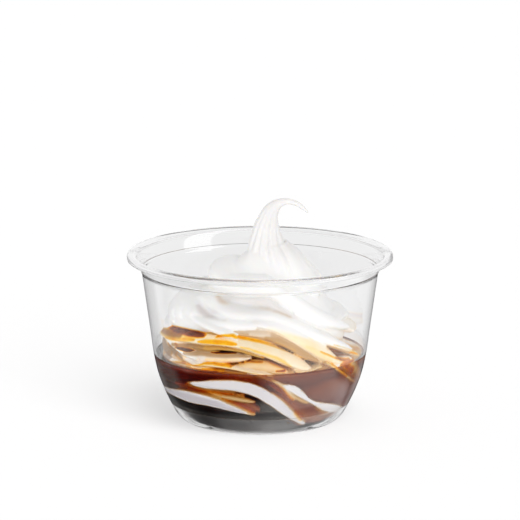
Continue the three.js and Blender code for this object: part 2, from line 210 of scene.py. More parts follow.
# painted shade: this fold, recessed under the petal, is painted dark tan
ribbon("underlip", [(-84, 30.9, 0.4), (-74, 31.2, 0.6), (-60, 31.65, 0.8), (-50, 32.1, 1.05), (-42, 32.3, 1.4), (-35, 32.6, 1.3), (-28, 33.15, 0.9), (-22, 33.2, 0.8),
                    (-16, 33.1, 0.75), (-8, 32.0, 0.7), (0, 30.6, 0.5)], t=2.4, out=-3.0, film_and_shade=(0.22, 0.22, 0.28), milk_and_shade=0.82)
ribbon("low_b", [(-19, 27.0, 0.4), (-11, 27.5, 1.3), (-5, 27.6, 2.0), (1, 27.2, 2.0), (7, 26.4, 1.7), (14, 25.2, 0.8)],
       t=2.6, out=-2.7, tilt=0.15, film_and_shade=(0.28, 0.17, 0.2), milk_and_shade=0.3)
ribbon("shore", [(-44, 26.4, 0.35), (-36.3, 26.9, 0.5), (-30.6, 27.2, 0.65), (-25.9, 27.3, 0.7), (-19.1, 27.1, 0.7), (-12.6, 26.5, 0.62), (-6.1, 25.8, 0.55),
                 (-0.1, 25.1, 0.45), (6, 24.3, 0.3)], t=1.4, out=-0.55, film_and_shade=(0.10, 0.15, 0.35), milk_and_shade=0.2)
ribbon("tide", [(17, 25.7, 0.3), (20.3, 25.6, 0.4), (23.9, 25.65, 0.4), (27.5, 25.9, 0.4), (31.2, 26.4, 0.4), (34.5, 26.9, 0.25)], t=2.0, out=0.1,
       film_and_shade=(0.16, 0.16, 0.24), milk_and_shade=0.5)
ribbon("wall_touch", [(43, 33.4, 0.3), (49.5, 31.7, 0.65), (55.6, 30.0, 0.75), (62, 28.1, 0.65), (67, 26.6, 0.3)], t=1.8, out=0.2,
       film_and_shade=(0.30, 0.0, 0.30))


def helix(name, start, span, top, drop, w, t, out, tilt, power=1.9, film_and_shade=(0.0, 0.02, 0.08), milk_and_shade=0.0, wob=0.0):
    u = np.linspace(0, 1, 8)
    z = top - drop * u ** power + 0.5 * np.sin(5.0 * u + wob)
    ww = w * (0.22 + 0.78 * np.sin(np.pi * (0.06 + 0.88 * u)) ** 0.8) * (1 + 0.12 * np.sin(7 * u + 2 * wob))
    ribbon(name, np.stack([start + span * u, z, ww], 1), t, out, tilt, film_and_shade=film_and_shade, milk_and_shade=milk_and_shade)


# the same piping round the sides and the back
for k in range(3):
    wb = 2.3 * k + 0.6
    s = math.sin(wb)
    helix("back_band_%d" % k, 92 + 38 * k, 80, 20.6 + 1.3 * s, 16.4, 2.5 + 0.6 * s, 3.3, 0.85, -0.36, 2.0, wob=wb)
    helix("back_shelf_%d" % k, 97 + 38 * k, 74, 17.6 + 1.3 * s, 15.2, 1.7, 2.2, -0.6, -0.36, 2.0, wob=wb)
for k in range(4):
    wb = 1.7 * k + 1.1
    s = math.sin(wb)
    helix("back_low_%d" % k, 74 + 48 * k, 112, 33.6 + 1.0 * s, 8.2, 2.2 - 0.3 * s, 3.0, -1.3, 0.2, 2.0,
          film_and_shade=(0.26, 0.17, 0.2), milk_and_shade=0.25, wob=wb)
    helix("back_mid_%d" % k, 58 + 48 * k, 118, 39.4 + 1.2 * s, 10.5, 2.5 - 0.3 * s, 3.4, -0.35, 0.22, 1.9,
          film_and_shade=(0.0, 0.0, 0.04), wob=wb + 1)
for k in range(4):
    helix("back_top_%d" % k, 58 + 54 * k, 124, 49.6 - 1.1 * (k % 2), 11.0, 3.0, 4.2, -0.2, 0.1, 1.7, wob=0.9 * k)
# last turn of the nozzle, coiled round the foot of the peak
ribbon("coil_left", [(-215, 49.6, 2.0), (-185, 51.6, 3.4), (-150, 54.0, 4.0), (-115, 55.2, 4.2), (-80, 54.8, 4.0),
                     (-48, 53.8, 3.0), (-26, 53.4, 1.2)], t=5.0, out=-0.9)
ribbon("coil_right", [(50, 50.4, 1.4), (80, 49.4, 3.0), (120, 48.8, 3.8), (160, 49.0, 4.0), (190, 49.8, 3.4), (215, 50.6, 1.4)],
       t=5.0, out=-0.9)

for rb in RIBBONS.values():
    lo, hi = rb["a"][0], rb["a"][-1]
    rb["A"] = np.linspace(lo, hi, 240)
    rb["Z"] = hermite(rb["a"], rb["z"], rb["A"])
    rb["W"] = hermite(rb["a"], rb["w"], rb["A"])
    rb["O"] = hermite(rb["a"], rb["out"], rb["A"])
    full = np.clip(rb["W"] / (0.45 * rb["W"].max()), 0.0, 1.0)
    rb["T"] = rb["t"] * (0.35 + 0.65 * full)
    rb["R"] = np.maximum(1.5, dome(rb["Z"]) + rb["O"] - rb["t"])
    arc = np.gradient(np.radians(rb["A"])) * rb["R"]
    rb["C"] = 1.0 / np.sqrt(1.0 + (np.gradient(rb["Z"]) / arc) ** 2)


def ribbon_field(rb, ang, r, z):
    """Signed distance (about) to a ribbon, with its cross coordinate v and its run u."""
    lo, hi = rb["a"][0], rb["a"][-1]
    mid = 0.5 * (lo + hi)
    ang = (ang - mid + 180.0) % 360.0 - 180.0 + mid
    ca = np.clip(ang, lo, hi)
    zc = np.interp(ca, rb["A"], rb["Z"])
    w = np.interp(ca, rb["A"], rb["W"])
    t = np.interp(ca, rb["A"], rb["T"])
    rc = np.interp(ca, rb["A"], rb["R"])
    co = np.interp(ca, rb["A"], rb["C"])
    dv = (z - zc) * co + rb["crest"] * w
    dr = r - rc + rb["tilt"] * dv
    ww = np.where(dv > 0, w * (1.0 + rb["crest"]), w * (1.0 - rb["crest"]))
    tt = np.where(dr < 0, 2.0 * t, t)
    e = rb["edge"]
    p1, p2 = np.abs(dv) / ww + 1e-6, np.abs(dr) / tt + 1e-6
    k1 = (p1 ** e + p2 ** e) ** (1.0 / e)
    slope = np.sqrt(((p1 / k1) ** (e - 1.0) / ww) ** 2 + ((p2 / k1) ** (e - 1.0) / tt) ** 2)
    sd = (k1 - 1.0) / slope
    end = np.abs(ang - ca) * (math.pi / 180.0) * r
    sd = np.where(end > 0, np.sqrt(np.maximum(sd, 0) ** 2 + end * end), sd)
    return sd, dv / ww, (ca - lo) / (hi - lo)


# ------------------------------------------------------------------ peak
SPINE = np.array([(7.6, 0.0, 50.0), (6.6, 0.0, 53.7), (5.05, 0.0, 58.6), (3.2, 0.0, 63.1), (2.45, 0.0, 65.8), (2.35, 0.0, 68.8),
                  (2.45, 0.0, 72.2), (2.85, 0.0, 74.4), (3.5, 0.0, 76.7), (4.9, 0.0, 79.0), (7.2, 0.1, 80.8), (10.0, 0.2, 81.4),
                  (13.0, 0.2, 80.7), (15.5, 0.1, 79.1), (17.3, 0.0, 77.6)])
SPINE_R = np.array([15.5, 12.9, 10.5, 8.2, 6.85, 5.65, 4.65, 3.9, 3.25, 2.5, 1.65, 1.12, 0.92, 0.72, 0.4])
_s = np.concatenate([[0], np.cumsum(np.linalg.norm(np.diff(SPINE, axis=0), axis=1))])
_S = np.linspace(0, _s[-1], 160)
SP = np.stack([hermite(_s, SPINE[:, i], _S) for i in range(3)], 1)
SR = hermite(_s, SPINE_R, _S)
ST = np.gradient(SP, axis=0)
ST /= np.linalg.norm(ST, axis=1, keepdims=True)
S_LEN = _s[-1]
# grooves between the flutes: angle round the peak (deg, 0 = front), depth, half width
FLUTES = [(-82, 0.09, 7), (-55, 0.12, 7), (-27, 0.13, 6), (-12, 0.05, 4), (4, 0.15, 5), (22, 0.05, 5), (44, 0.11, 6), (74, 0.03, 7),
          (100, 0.12, 8), (130, 0.09, 8), (160, 0.12, 8), (190, 0.10, 8), (220, 0.13, 8), (250, 0.10, 8)]


def peak_field(x, y, z):
    best = np.full(x.shape, 1e9, np.float32)
    arg = np.zeros(x.shape, np.int32)
    for i in range(len(SP)):
        d = (x - SP[i, 0]) ** 2 + (y - SP[i, 1]) ** 2 + (z - SP[i, 2]) ** 2
        m = d < best
        best = np.where(m, d, best)
        arg = np.where(m, i, arg)
    px, py, pz = x - SP[arg, 0], y - SP[arg, 1], z - SP[arg, 2]
    tx, tz = ST[arg, 0], ST[arg, 2]
    side = px * tz - pz * tx
    along = px * tx + py * ST[arg, 1] + pz * tz
    u = np.clip((_S[arg] + along) / S_LEN, 0, 1)
    ang = np.degrees(np.arctan2(side, -py))
    rho = np.sqrt(side * side + py * py)
    cap = np.maximum(np.abs(along) - 0.35, 0.0)
    r = SR[arg]
    deep = (0.45 + 0.55 * smooth(0.1, 0.4, u)) * (1.0 - 0.8 * smooth(0.62, 0.9, u))
    twist = 1.4 * (SP[arg, 2] - 66.0)
    cut = np.zeros_like(rho)
    for a0, d0, w0 in FLUTES:
        da = (ang - (a0 + twist) + 180.0) % 360.0 - 180.0
        cut = np.maximum(cut, d0 * np.exp(-np.abs(da / w0) ** 1.5))
    r = r * (1.03 - 1.15 * cut * deep)
    return np.sqrt(np.maximum(rho - r, 0) ** 2 + cap ** 2) + np.minimum(rho - r, 0)


def body_field(x, y, z):
    """Signed distance (about) of the whole piped mass, in mm."""
    sh = shift_at(z)
    xs = x - sh
    r = np.sqrt(xs * xs + y * y)
    ang = np.degrees(np.arctan2(xs, -y))
    r = r + inset(ang, z)
    core = np.interp(z, Z_TAB, CORE_TAB) + 0.5 * np.sin(np.radians(3 * ang) + 0.35 * z)
    f = np.maximum(r - core, z - 66.0) * 0.8
    for name, rb in RIBBONS.items():
        pad = 2.5
        zlo, zhi = rb["Z"].min() - rb["W"].max() - pad, rb["Z"].max() + rb["W"].max() + pad
        m = (z > zlo) & (z < zhi) & (r > rb["R"].min() - 2 * rb["t"] - pad)
        if not m.any():
            continue
        sd, v, u = ribbon_field(rb, ang[m], r[m], z[m])
        if name == "left_lobe":
            fl = np.zeros_like(sd)
            for a0 in (-126, -112, -98, -85, -72, -61):
                da = (ang[m] + 72) * (1.0 + 0.05 * (z[m] - 42.5)) - (a0 + 72)
                fl = np.maximum(fl, np.exp(-(da / 1.8) ** 2))
            sd = sd + 0.55 * fl * smooth(46.5, 41.0, z[m])
        f[m] = smin(f[m], sd, 0.55)
    m = (z > 46.0) & (np.abs(x - 3.0) < 20.0) & (np.abs(y) < 18.0)
    if m.any():
        f[m] = smin(f[m], peak_field(x[m], y[m], z[m]), 0.8)
    wall = np.sqrt(x * x + y * y) - (r_in(z) + INTO_WALL_CREAM)
    wall = np.where(z > 57.0, -9.0, wall)
    f = np.maximum(f, wall)
    return np.maximum(f, CREAM_FOOT - z)


def spaced(parts):
    """Grid coordinates: [(start, end, step), ...] joined."""
    out = [np.arange(a, b - 1e-6, st) for a, b, st in parts]
    return np.concatenate(out + [[parts[-1][1]]])


def surface_nets(f, gx, gy, gz):
    """Closed quad mesh of f = 0 on a rectilinear grid."""
    inside = f < 0
    nx, ny, nz = f.shape
    count = np.zeros((nx - 1, ny - 1, nz - 1), np.int8)
    for i in (0, 1):
        for j in (0, 1):
            for k in (0, 1):
                count += inside[i:nx - 1 + i, j:ny - 1 + j, k:nz - 1 + k]
    cells = np.argwhere((count > 0) & (count < 8))
    index = np.full(count.shape, -1, np.int32)
    index[cells[:, 0], cells[:, 1], cells[:, 2]] = np.arange(len(cells))
    corner = [(i, j, k) for i in (0, 1) for j in (0, 1) for k in (0, 1)]
    vals = np.stack([f[cells[:, 0] + i, cells[:, 1] + j, cells[:, 2] + k] for i, j, k in corner], 1).astype(float)
    gxs, gys, gzs = gx[cells[:, 0]], gy[cells[:, 1]], gz[cells[:, 2]]
    dx, dy, dz = gx[cells[:, 0] + 1] - gxs, gy[cells[:, 1] + 1] - gys, gz[cells[:, 2] + 1] - gzs
    acc = np.zeros((len(cells), 3))
    num = np.zeros(len(cells))
    for a in range(8):
        for b in range(a + 1, 8):
            ca, cb = corner[a], corner[b]
            if sum(abs(p - q) for p, q in zip(ca, cb)) != 1:
                continue
            m = (vals[:, a] < 0) != (vals[:, b] < 0)
            t = np.where(m, vals[:, a] / np.where(m, vals[:, a] - vals[:, b], 1.0), 0.0)
            for ax in range(3):
                acc[:, ax] += np.where(m, ca[ax] + t * (cb[ax] - ca[ax]), 0.0)
            num += m
    acc /= num[:, None]
    verts = np.stack([gxs + acc[:, 0] * dx, gys + acc[:, 1] * dy, gzs + acc[:, 2] * dz], 1)
    quads = []
    a, b = inside[:-1, 1:-1, 1:-1], inside[1:, 1:-1, 1:-1]
    e = np.argwhere(a != b)
    i, j, k = e[:, 0], e[:, 1] + 1, e[:, 2] + 1
    q = np.stack([index[i, j - 1, k - 1], index[i, j, k - 1], index[i, j, k], index[i, j - 1, k]], 1)
    flip = ~inside[i, j, k]
    q[flip] = q[flip][:, ::-1]
    quads.append(q)
    a, b = inside[1:-1, :-1, 1:-1], inside[1:-1, 1:, 1:-1]
    e = np.argwhere(a != b)
    i, j, k = e[:, 0] + 1, e[:, 1], e[:, 2] + 1
    q = np.stack([index[i - 1, j, k - 1], index[i - 1, j, k], index[i, j, k], index[i, j, k - 1]], 1)
    flip = ~inside[i, j, k]
    q[flip] = q[flip][:, ::-1]
    quads.append(q)
    a, b = inside[1:-1, 1:-1, :-1], inside[1:-1, 1:-1, 1:]
    e = np.argwhere(a != b)
    i, j, k = e[:, 0] + 1, e[:, 1] + 1, e[:, 2]
    q = np.stack([index[i - 1, j - 1, k], index[i, j - 1, k], index[i, j, k], index[i - 1, j, k]], 1)
    flip = ~inside[i, j, k]
    q[flip] = q[flip][:, ::-1]
    quads.append(q)
    return verts, np.concatenate(quads)


def relax(verts, quads, rounds, amount):
    """Evens out the mesh along its edges, with no shrinking to speak of."""
    e = np.concatenate([quads[:, [0, 1]], quads[:, [1, 2]], quads[:, [2, 3]], quads[:, [3, 0]]])
    n = len(verts)
    deg = np.bincount(e[:, 0], minlength=n) + np.bincount(e[:, 1], minlength=n)
    for i in range(rounds):
        for lam in (amount, -amount * 1.04):
            s = np.stack([np.bincount(e[:, 0], verts[e[:, 1], ax], n) + np.bincount(e[:, 1], verts[e[:, 0], ax], n)
                          for ax in range(3)], 1)
            verts = verts + lam * (s / deg[:, None] - verts)
    return verts


# ------------------------------------------------------------------ mesh helpers
def make_object(name, verts_mm, faces, smooth_shade=True):
    me = bpy.data.meshes.new(name)
    v = np.asarray(verts_mm, np.float32) * MM
    total = np.array([len(f) for f in faces], np.int32)
    flat = np.array([i for f in faces for i in f], np.int32)
    me.vertices.add(len(v))
    me.vertices.foreach_set("co", v.ravel())
    me.loops.add(len(flat))
    me.loops.foreach_set("vertex_index", flat)
    me.polygons.add(len(total))
    me.polygons.foreach_set("loop_start", (np.cumsum(total) - total).astype(np.int32))
    me.polygons.foreach_set("loop_total", total)
    me.update(calc_edges=True)
    me.validate(verbose=False)
    if smooth_shade:
        me.polygons.foreach_set("use_smooth", np.ones(len(me.polygons), bool))
    ob = bpy.data.objects.new(name, me)
    bpy.context.scene.collection.objects.link(ob)
    return ob


def turned(name, profile, segments):
    """Turned solid about Z.  The profile is a closed loop off the axis, or it
    starts and ends on the axis."""
    prof = np.asarray(profile, float)
    on_axis = prof[0, 0] < 1e-6
    a = np.linspace(0, 2 * math.pi, segments, endpoint=False)
    rows = prof[1:-1] if on_axis else prof
    n = len(rows)
    verts = np.stack([np.outer(np.cos(a), rows[:, 0]).ravel(), np.outer(np.sin(a), rows[:, 0]).ravel(),
                      np.tile(rows[:, 1], segments)], 1)
    idx = np.arange(segments * n).reshape(segments, n)
    nxt = np.roll(idx, -1, axis=0)
    if on_axis:
        q = np.stack([idx[:, :-1], nxt[:, :-1], nxt[:, 1:], idx[:, 1:]], -1).reshape(-1, 4)
    else:
        q = np.stack([idx, nxt, np.roll(nxt, -1, 1), np.roll(idx, -1, 1)], -1).reshape(-1, 4)
    faces = [tuple(map(int, r)) for r in q]
    vl = [tuple(r) for r in verts]
    if on_axis:
        lo, hi = len(vl), len(vl) + 1
        vl += [(0, 0, prof[0, 1]), (0, 0, prof[-1, 1])]
        for s in range(segments):
            t = (s + 1) % segments
            faces.append((lo, int(idx[t, 0]), int(idx[s, 0])))
            faces.append((hi, int(idx[s, -1]), int(idx[t, -1])))
    me = bpy.data.meshes.new(name)
    me.from_pydata([(x * MM, y * MM, z * MM) for x, y, z in vl], [], faces)
    me.validate(verbose=False)
    me.polygons.foreach_set("use_smooth", np.ones(len(me.polygons), bool))
    me.update()
    ob = bpy.data.objects.new(name, me)
    bpy.context.scene.collection.objects.link(ob)
    return ob


def arc_points(cx, cz, rx, rz, a0, a1, n):
    t = np.radians(np.linspace(a0, a1, n))
    return [(cx + rx * math.cos(u), cz + rz * math.sin(u)) for u in t]


# ------------------------------------------------------------------ soft serve
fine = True
if fine:
    gx = spaced([(-42.0, -10.0, 0.78), (-10.0, 19.0, 0.52), (19.0, 42.0, 0.78)])
    gy = spaced([(-42.0, -6.0, 0.70), (-6.0, 6.0, 0.50), (6.0, 42.0, 1.0)])
    gz = spaced([(0.8, 24.0, 0.78), (24.0, 58.0, 0.66), (58.0, 84.0, 0.45)])
else:
    gx = spaced([(-42.0, 42.0, 0.9)])
    gy = spaced([(-42.0, 42.0, 0.9)])
    gz = spaced([(0.8, 84.0, 0.8)])
field = np.empty((len(gx), len(gy), len(gz)), np.float32)
X, Y = np.meshgrid(gx, gy, indexing="ij")
step = 24
for k0 in range(0, len(gz), step):
    zz = gz[k0:k0 + step]
    x3 = np.repeat(X[:, :, None], len(zz), 2)
    y3 = np.repeat(Y[:, :, None], len(zz), 2)
    z3 = np.broadcast_to(zz[None, None, :], x3.shape).copy()
    field[:, :, k0:k0 + step] = body_field(x3, y3, z3)


def spread(seed, allowed):
    """The cells of allowed that hang together with the seed."""
    got = seed & allowed
    while True:
        before = int(got.sum())
        for axis in range(3):
            g, a = np.moveaxis(got, axis, 0), np.moveaxis(allowed, axis, 0)
            for i in range(1, len(g)):
                g[i] |= g[i - 1] & a[i]
            for i in range(len(g) - 2, -1, -1):
                g[i] |= g[i + 1] & a[i]
        if int(got.sum()) == before:
            return got


# closed pockets between the ribbons are filled, loose crumbs left out
air = field >= 0
seed = np.zeros(air.shape, bool)
seed[0], seed[-1], seed[:, 0], seed[:, -1], seed[:, :, 0], seed[:, :, -1] = (True,) * 6
field[air & ~spread(seed, air)] = -0.3
solid = field < 0
seed[:] = False
seed[len(gx) // 2, len(gy) // 2, len(gz) // 3] = True
field[solid & ~spread(seed, solid)] = 0.3
cream_v, cream_q = surface_nets(field, gx, gy, gz)
cream_v = relax(cream_v, cream_q, 3, 0.45)


def onto_surface(v, rounds=2, reach=0.25):
    """Moves points along the slope of the field to where it is zero."""
    e = 0.03
    for i in range(rounds):
        x, y, z = (v[:, k].copy() for k in range(3))
        f = body_field(x, y, z)
        g = np.stack([body_field(x + e, y, z) - f, body_field(x, y + e, z) - f, body_field(x, y, z + e) - f], 1) / e
        g2 = np.maximum((g * g).sum(1), 0.2)
        v = v - g * np.clip(f / g2, -reach, reach)[:, None]
    return v


def halve(verts, quads, pick):
    """Splits the picked quads in four; quads beside them become fans of triangles."""
    e = np.sort(np.concatenate([quads[pick][:, [0, 1]], quads[pick][:, [1, 2]], quads[pick][:, [2, 3]], quads[pick][:, [3, 0]]]), axis=1)
    edges = np.unique(e, axis=0)
    n = len(verts)
    mid = {(int(a), int(b)): n + i for i, (a, b) in enumerate(edges)}
    new = [verts, 0.5 * (verts[edges[:, 0]] + verts[edges[:, 1]]), verts[quads[pick]].mean(1)]
    centre = n + len(edges)
    faces, rest = [], np.nonzero(~pick)[0]
    for i, q in enumerate(quads[pick].tolist()):
        m = [mid[(min(q[k], q[(k + 1) % 4]), max(q[k], q[(k + 1) % 4]))] for k in range(4)]
        for k in range(4):
            faces.append((q[k], m[k], centre + i, m[k - 1]))
    for q in quads[rest].tolist():
        loop = []
        for k in range(4):
            a, b = q[k], q[(k + 1) % 4]
            loop.append(a)
            m = mid.get((min(a, b), max(a, b)))
            if m is not None:
                loop.append(m)
        faces.append(tuple(loop))
    return np.concatenate(new), faces


cream_v = onto_surface(cream_v)
if fine:
    c = cream_v[cream_q].mean(1)
    turn = np.degrees(np.arctan2(c[:, 0] - shift_at(c[:, 2]), -c[:, 1]))
    zone = (turn > -84) & (turn < 64) & (c[:, 2] > 24.6) & (c[:, 2] < 40.5) & (np.hypot(c[:, 0], c[:, 1]) > 32.0)
    cream_v, cream_q = halve(cream_v, cream_q, zone)
    cream_v = onto_surface(cream_v, 1)
# evens out small pits where the upper coils meet
sides = np.array([(q[k - 1], q[k]) for q in cream_q for k in range(len(q))])
near = np.bincount(sides.ravel(), minlength=len(cream_v))[:, None]


def sag(v):
    """How far each point lies from the mean of its neighbours."""
    total = [np.bincount(sides[:, 0], v[sides[:, 1], ax], len(v)) + np.bincount(sides[:, 1], v[sides[:, 0], ax], len(v)) for ax in range(3)]
    return np.stack(total, 1) / near - v


rough = (np.linalg.norm(sag(cream_v), axis=1) > 0.15) & (cream_v[:, 2] > 43.0) & (cream_v[:, 2] < 57.0)
pick = rough.astype(float)
for i in range(2):
    pick = np.maximum(pick, 0.6 * (np.bincount(sides[:, 0], pick[sides[:, 1]], len(pick)) + np.bincount(sides[:, 1], pick[sides[:, 0]], len(pick)) > 0.5))
for i in range(10):
    cream_v = cream_v + 0.5 * pick[:, None] * sag(cream_v)
print("evened points:", int(rough.sum()))
soft_serve = make_object("soft_serve_swirl", cream_v, cream_q)
print("soft serve:", len(cream_v), "points", sum(len(q) - 2 for q in cream_q), "triangles")

# how much coffee clings to each point, and painted shade: streaks drawn along the folds, darker in the gaps and on the
# undersides
sh = shift_at(cream_v[:, 2])
cx = cream_v[:, 0] - sh
ca = np.degrees(np.arctan2(cx, -cream_v[:, 1]))
cz = cream_v[:, 2]
cr = np.hypot(cx, cream_v[:, 1]) + inset(ca, cz)
best = np.interp(cz, Z_TAB, CORE_TAB)
best = (cr - best) * 0.8
# painted shade: the core, which shows only in the recesses between the ribbons, starts tan
film_and_shade = np.full(len(cz), 0.25)
milk_and_shade = np.full(len(cz), 0.7)
for name, rb in RIBBONS.items():
    sd, v, u = ribbon_field(rb, ca, cr, cz)
    up, mid, low = rb["film_and_shade"]
    vv = np.clip(v, -1, 1)
    st = np.where(vv > 0, mid + (up - mid) * vv ** 2, mid + (low - mid) * vv ** 2)
    m = sd < best
    film_and_shade = np.where(m, st, film_and_shade)
    milk_and_shade = np.where(m, rb["milk_and_shade"], milk_and_shade)
    best = np.where(m, sd, best)
# fade with height over the coffee
far = 6.0 * smooth(40.0, 70.0, np.abs(ca))
fade = 1.0 - smooth(38.5 - far, 43.0 - far, cz)
film_and_shade *= fade
milk_and_shade *= fade
film_and_shade = np.where(cz < LEVEL - 0.6, 0.0, film_and_shade)
milk_and_shade = np.where(cz < LEVEL - 0.6, 0.0, milk_and_shade)
# painted shade: greyer under the coffee, and a little at the peak
painted_shade = 0.46 * smooth(LEVEL + 0.4, LEVEL - 0.8, cz) + 0.2 * smooth(56.0, 66.0, cz)


def stroke(rows, f=None, m=None, soft=0.6, g=None):
    """Streak of coffee or of painted shade: rows of angle, height, half width (mm); f = clear coffee layer, m = milky
    coffee layer (both also used as painted shade in gaps and on undersides), g = painted shade, greyer.
    """
    a = np.array(rows, float)
    t = np.linspace(0, 1, 48)
    base = np.linspace(0, 1, len(a))
    A, Zs, Wd = (np.interp(t, base, a[:, i]) for i in range(3))
    near = np.nonzero((ca > A.min() - 10) & (ca < A.max() + 10) & (cz > Zs.min() - 5) & (cz < Zs.max() + 5) & (cr > 18))[0]
    if not len(near):
        return
    d = np.full(len(near), 9.0)
    for i in range(len(t)):
        sx = np.radians(ca[near] - A[i]) * cr[near]
        d = np.minimum(d, np.sqrt(sx * sx + (cz[near] - Zs[i]) ** 2) / max(Wd[i], 0.1))
    k = 1.0 - smooth(1.0 - soft, 1.0 + soft, d)
    for values, goal in ((film_and_shade, f), (milk_and_shade, m), (painted_shade, g)):
        if goal is not None:
            values[near] += (goal - values[near]) * k


# streaks at the front, with painted shade in the gaps, creases and undersides of the folds
# painted shade: the underside of the petal, painted tan and greyer
stroke([(-62.5, 31.7, 0.52), (-52.9, 32.1, 0.74), (-41.4, 32.5, 0.85), (-32.4, 32.9, 0.85)],
       0.24, 0.85, 0.6, 0.35)
stroke([(-37.5, 32.6, 0.85), (-28.4, 33, 0.85), (-19.8, 33, 0.78), (-11.2, 32.3, 0.63), (-3.4, 30.9, 0.44)],
       0.34, 0.6, 0.6, 0.25)
# a maroon streak at the petal's left end, with painted shade greying it
stroke([(-84.1, 34, 0.74), (-72.1, 34.8, 1.19), (-63.8, 35.2, 1.26), (-56.4, 35.4, 0.81)],
       0.5, 0.35, 0.7, 0.85)
stroke([(-71.2, 33.1, 0.44), (-63.5, 33.6, 0.67), (-55, 34.5, 0.81), (-48.5, 35.1, 0.7), (-44, 35.4, 0.37)],
       0.44, 0.0, 0.7)
stroke([(-77.1, 36.1, 0.59), (-65.9, 36.7, 1.04), (-56.2, 37, 1.19), (-47.8, 37.1, 1.19), (-42.2, 37.1, 0.96), (-38.6, 37, 0.52)],
       0.55, 0.0, 0.5)
stroke([(-75.4, 36.1, 0.33), (-65.4, 36.6, 0.7), (-55.6, 36.9, 0.81), (-47.4, 37, 0.78), (-41.9, 37, 0.56), (-39.3, 37, 0.26)],
       0.8, 0.0, 0.6)
stroke([(-40.6, 35.1, 0.37), (-35.8, 35.5, 0.74), (-29.1, 35.8, 0.85), (-22.8, 35.9, 0.81), (-18.5, 35.8, 0.67), (-16.1, 35.7, 0.33)],
       0.42, 0.0, 0.5)
stroke([(-29.8, 37.5, 0.48), (-23.4, 38.6, 0.59), (-18.6, 38.8, 0.56), (-14.8, 37.9, 0.52), (-8.5, 37.4, 0.52), (-2.2, 36.6, 0.48), (3.9, 35.5, 0.41)],
       0.44, 0.0, 0.6)
stroke([(2.7, 35.7, 0.33), (10.1, 33.9, 0.33), (16.6, 32.3, 0.33), (22.5, 30.3, 0.33), (26.2, 29.2, 0.26)],
       0.32, 0.2, 0.7)
stroke([(-13.5, 34.8, 0.37), (-8.9, 34.4, 0.44), (-4.3, 33.5, 0.44), (0.8, 32.4, 0.56), (6.4, 31.2, 0.63), (10.8, 29.7, 0.63), (15, 27.6, 0.41)],
       0.29, 0.0, 0.7)
# painted shade: the tan recess under the petal
stroke([(-49.9, 29.9, 0.59), (-44.9, 30.3, 0.74), (-41.1, 30.4, 0.74), (-32.1, 30.7, 0.81), (-22.6, 30.9, 0.74), (-14.2, 31.3, 0.59), (-8.3, 31.1, 0.44)],
       0.12, 0.72, 0.6, 0.3)
# painted shade: the fold in the left pocket, painted mauve and greyer
stroke([(-76.7, 27.5, 2.22), (-71.2, 27.9, 1.48)],
       0.18, 0.62, 0.5, 1.0)
stroke([(-77.8, 24.5, 0.81), (-69, 25.4, 0.74)],
       0.06, 0.35, 0.6, 0.6)
stroke([(-68.1, 29.9, 1.48), (-62.3, 29.2, 1.85), (-57.5, 28.3, 1.48), (-54.6, 27.6, 1.11)],
       0.17, 0.6, 0.5, 0.9)
stroke([(-72.1, 30.6, 0.26), (-67, 30.2, 0.3), (-70.1, 28.6, 0.26), (-65.1, 28.2, 0.3), (-67, 27, 0.22)],
       0.7, 0.5, 0.6, 0.5)
stroke([(-60.1, 32.3, 0.26), (-57.1, 31.8, 0.26), (-59.4, 30.4, 0.26), (-58, 29.2, 0.26), (-60.9, 27.5, 0.26)],
       0.7, 0.4, 0.6, 0.4)
stroke([(-58.6, 27.4, 0.74), (-56.1, 26.7, 0.74), (-53.9, 26, 0.56)],
       0.3, 0.55, 0.6, 0.2)
stroke([(-70.8, 23.1, 0.93), (-59.5, 24.3, 1.11), (-52.7, 25, 1.11), (-47.3, 24.9, 0.74)],
       0.6, 0.4, 0.6, 0.3)
stroke([(-73, 23.7, 0.37), (-63.4, 24.6, 0.37), (-56.9, 25, 0.33), (-51.1, 25.2, 0.33), (-45.9, 25.2, 0.33)],
       0.12, 0.5, 0.5, 0.3)
stroke([(-49.7, 27.6, 0.59), (-44.5, 27.8, 1.26), (-39.5, 28.3, 1.19), (-36.7, 29.2, 0.59)],
       0.03, 0.14, 0.5, 0.14)
stroke([(-35.3, 28.8, 0.52), (-28.5, 29.2, 0.67), (-21, 29.6, 0.67), (-15, 30.1, 0.44)],
       0.17, 0.1, 0.6)
# painted shade: dark slits in the gaps under the petal
stroke([(-56.8, 31.1, 0.37), (-53.4, 31.2, 0.56), (-49.1, 31, 0.48), (-46.6, 30.9, 0.26)],
       0.95, 0.1, 0.5, 0.5)
stroke([(-34.3, 31.3, 0.19), (-30, 31.4, 0.3), (-24, 31.7, 0.3), (-17.5, 31.9, 0.19)],
       0.76, 0.0, 0.6, 0.3)
stroke([(-50, 25.7, 0.3), (-44, 25.8, 0.33), (-38.3, 26.8, 0.33), (-35.7, 27.5, 0.37), (-30.1, 28, 0.37), (-23.6, 27.9, 0.41), (-18.7, 27.7, 0.44)],
       0.48, 0.0, 0.7)
stroke([(-19, 27.7, 0.3), (-14.8, 28.6, 0.26), (-9, 29.1, 0.26), (-1.2, 29.1, 0.3)],
       0.58, 0.3, 0.7)
stroke([(-1, 31, 0.44), (5.9, 28.4, 0.59), (12.4, 27.1, 0.59), (16.1, 26.1, 0.37)],
       0.48, 0.5, 0.7)
stroke([(7.4, 25.9, 0.37), (12.1, 25.9, 0.44)],
       0.7, 0.0, 0.7)
stroke([(-48.8, 24.8, 0.33), (-42.4, 24.7, 0.48), (-36.5, 24.8, 0.48), (-29.9, 25, 0.52), (-22.9, 24.8, 0.44), (-15.5, 24.6, 0.37)],
       0.8, 0.1, 0.7)
stroke([(-36.8, 25.5, 0.26), (-30.6, 25.6, 0.3), (-23.8, 25.6, 0.3)],
       0.45, 0.0, 0.7)
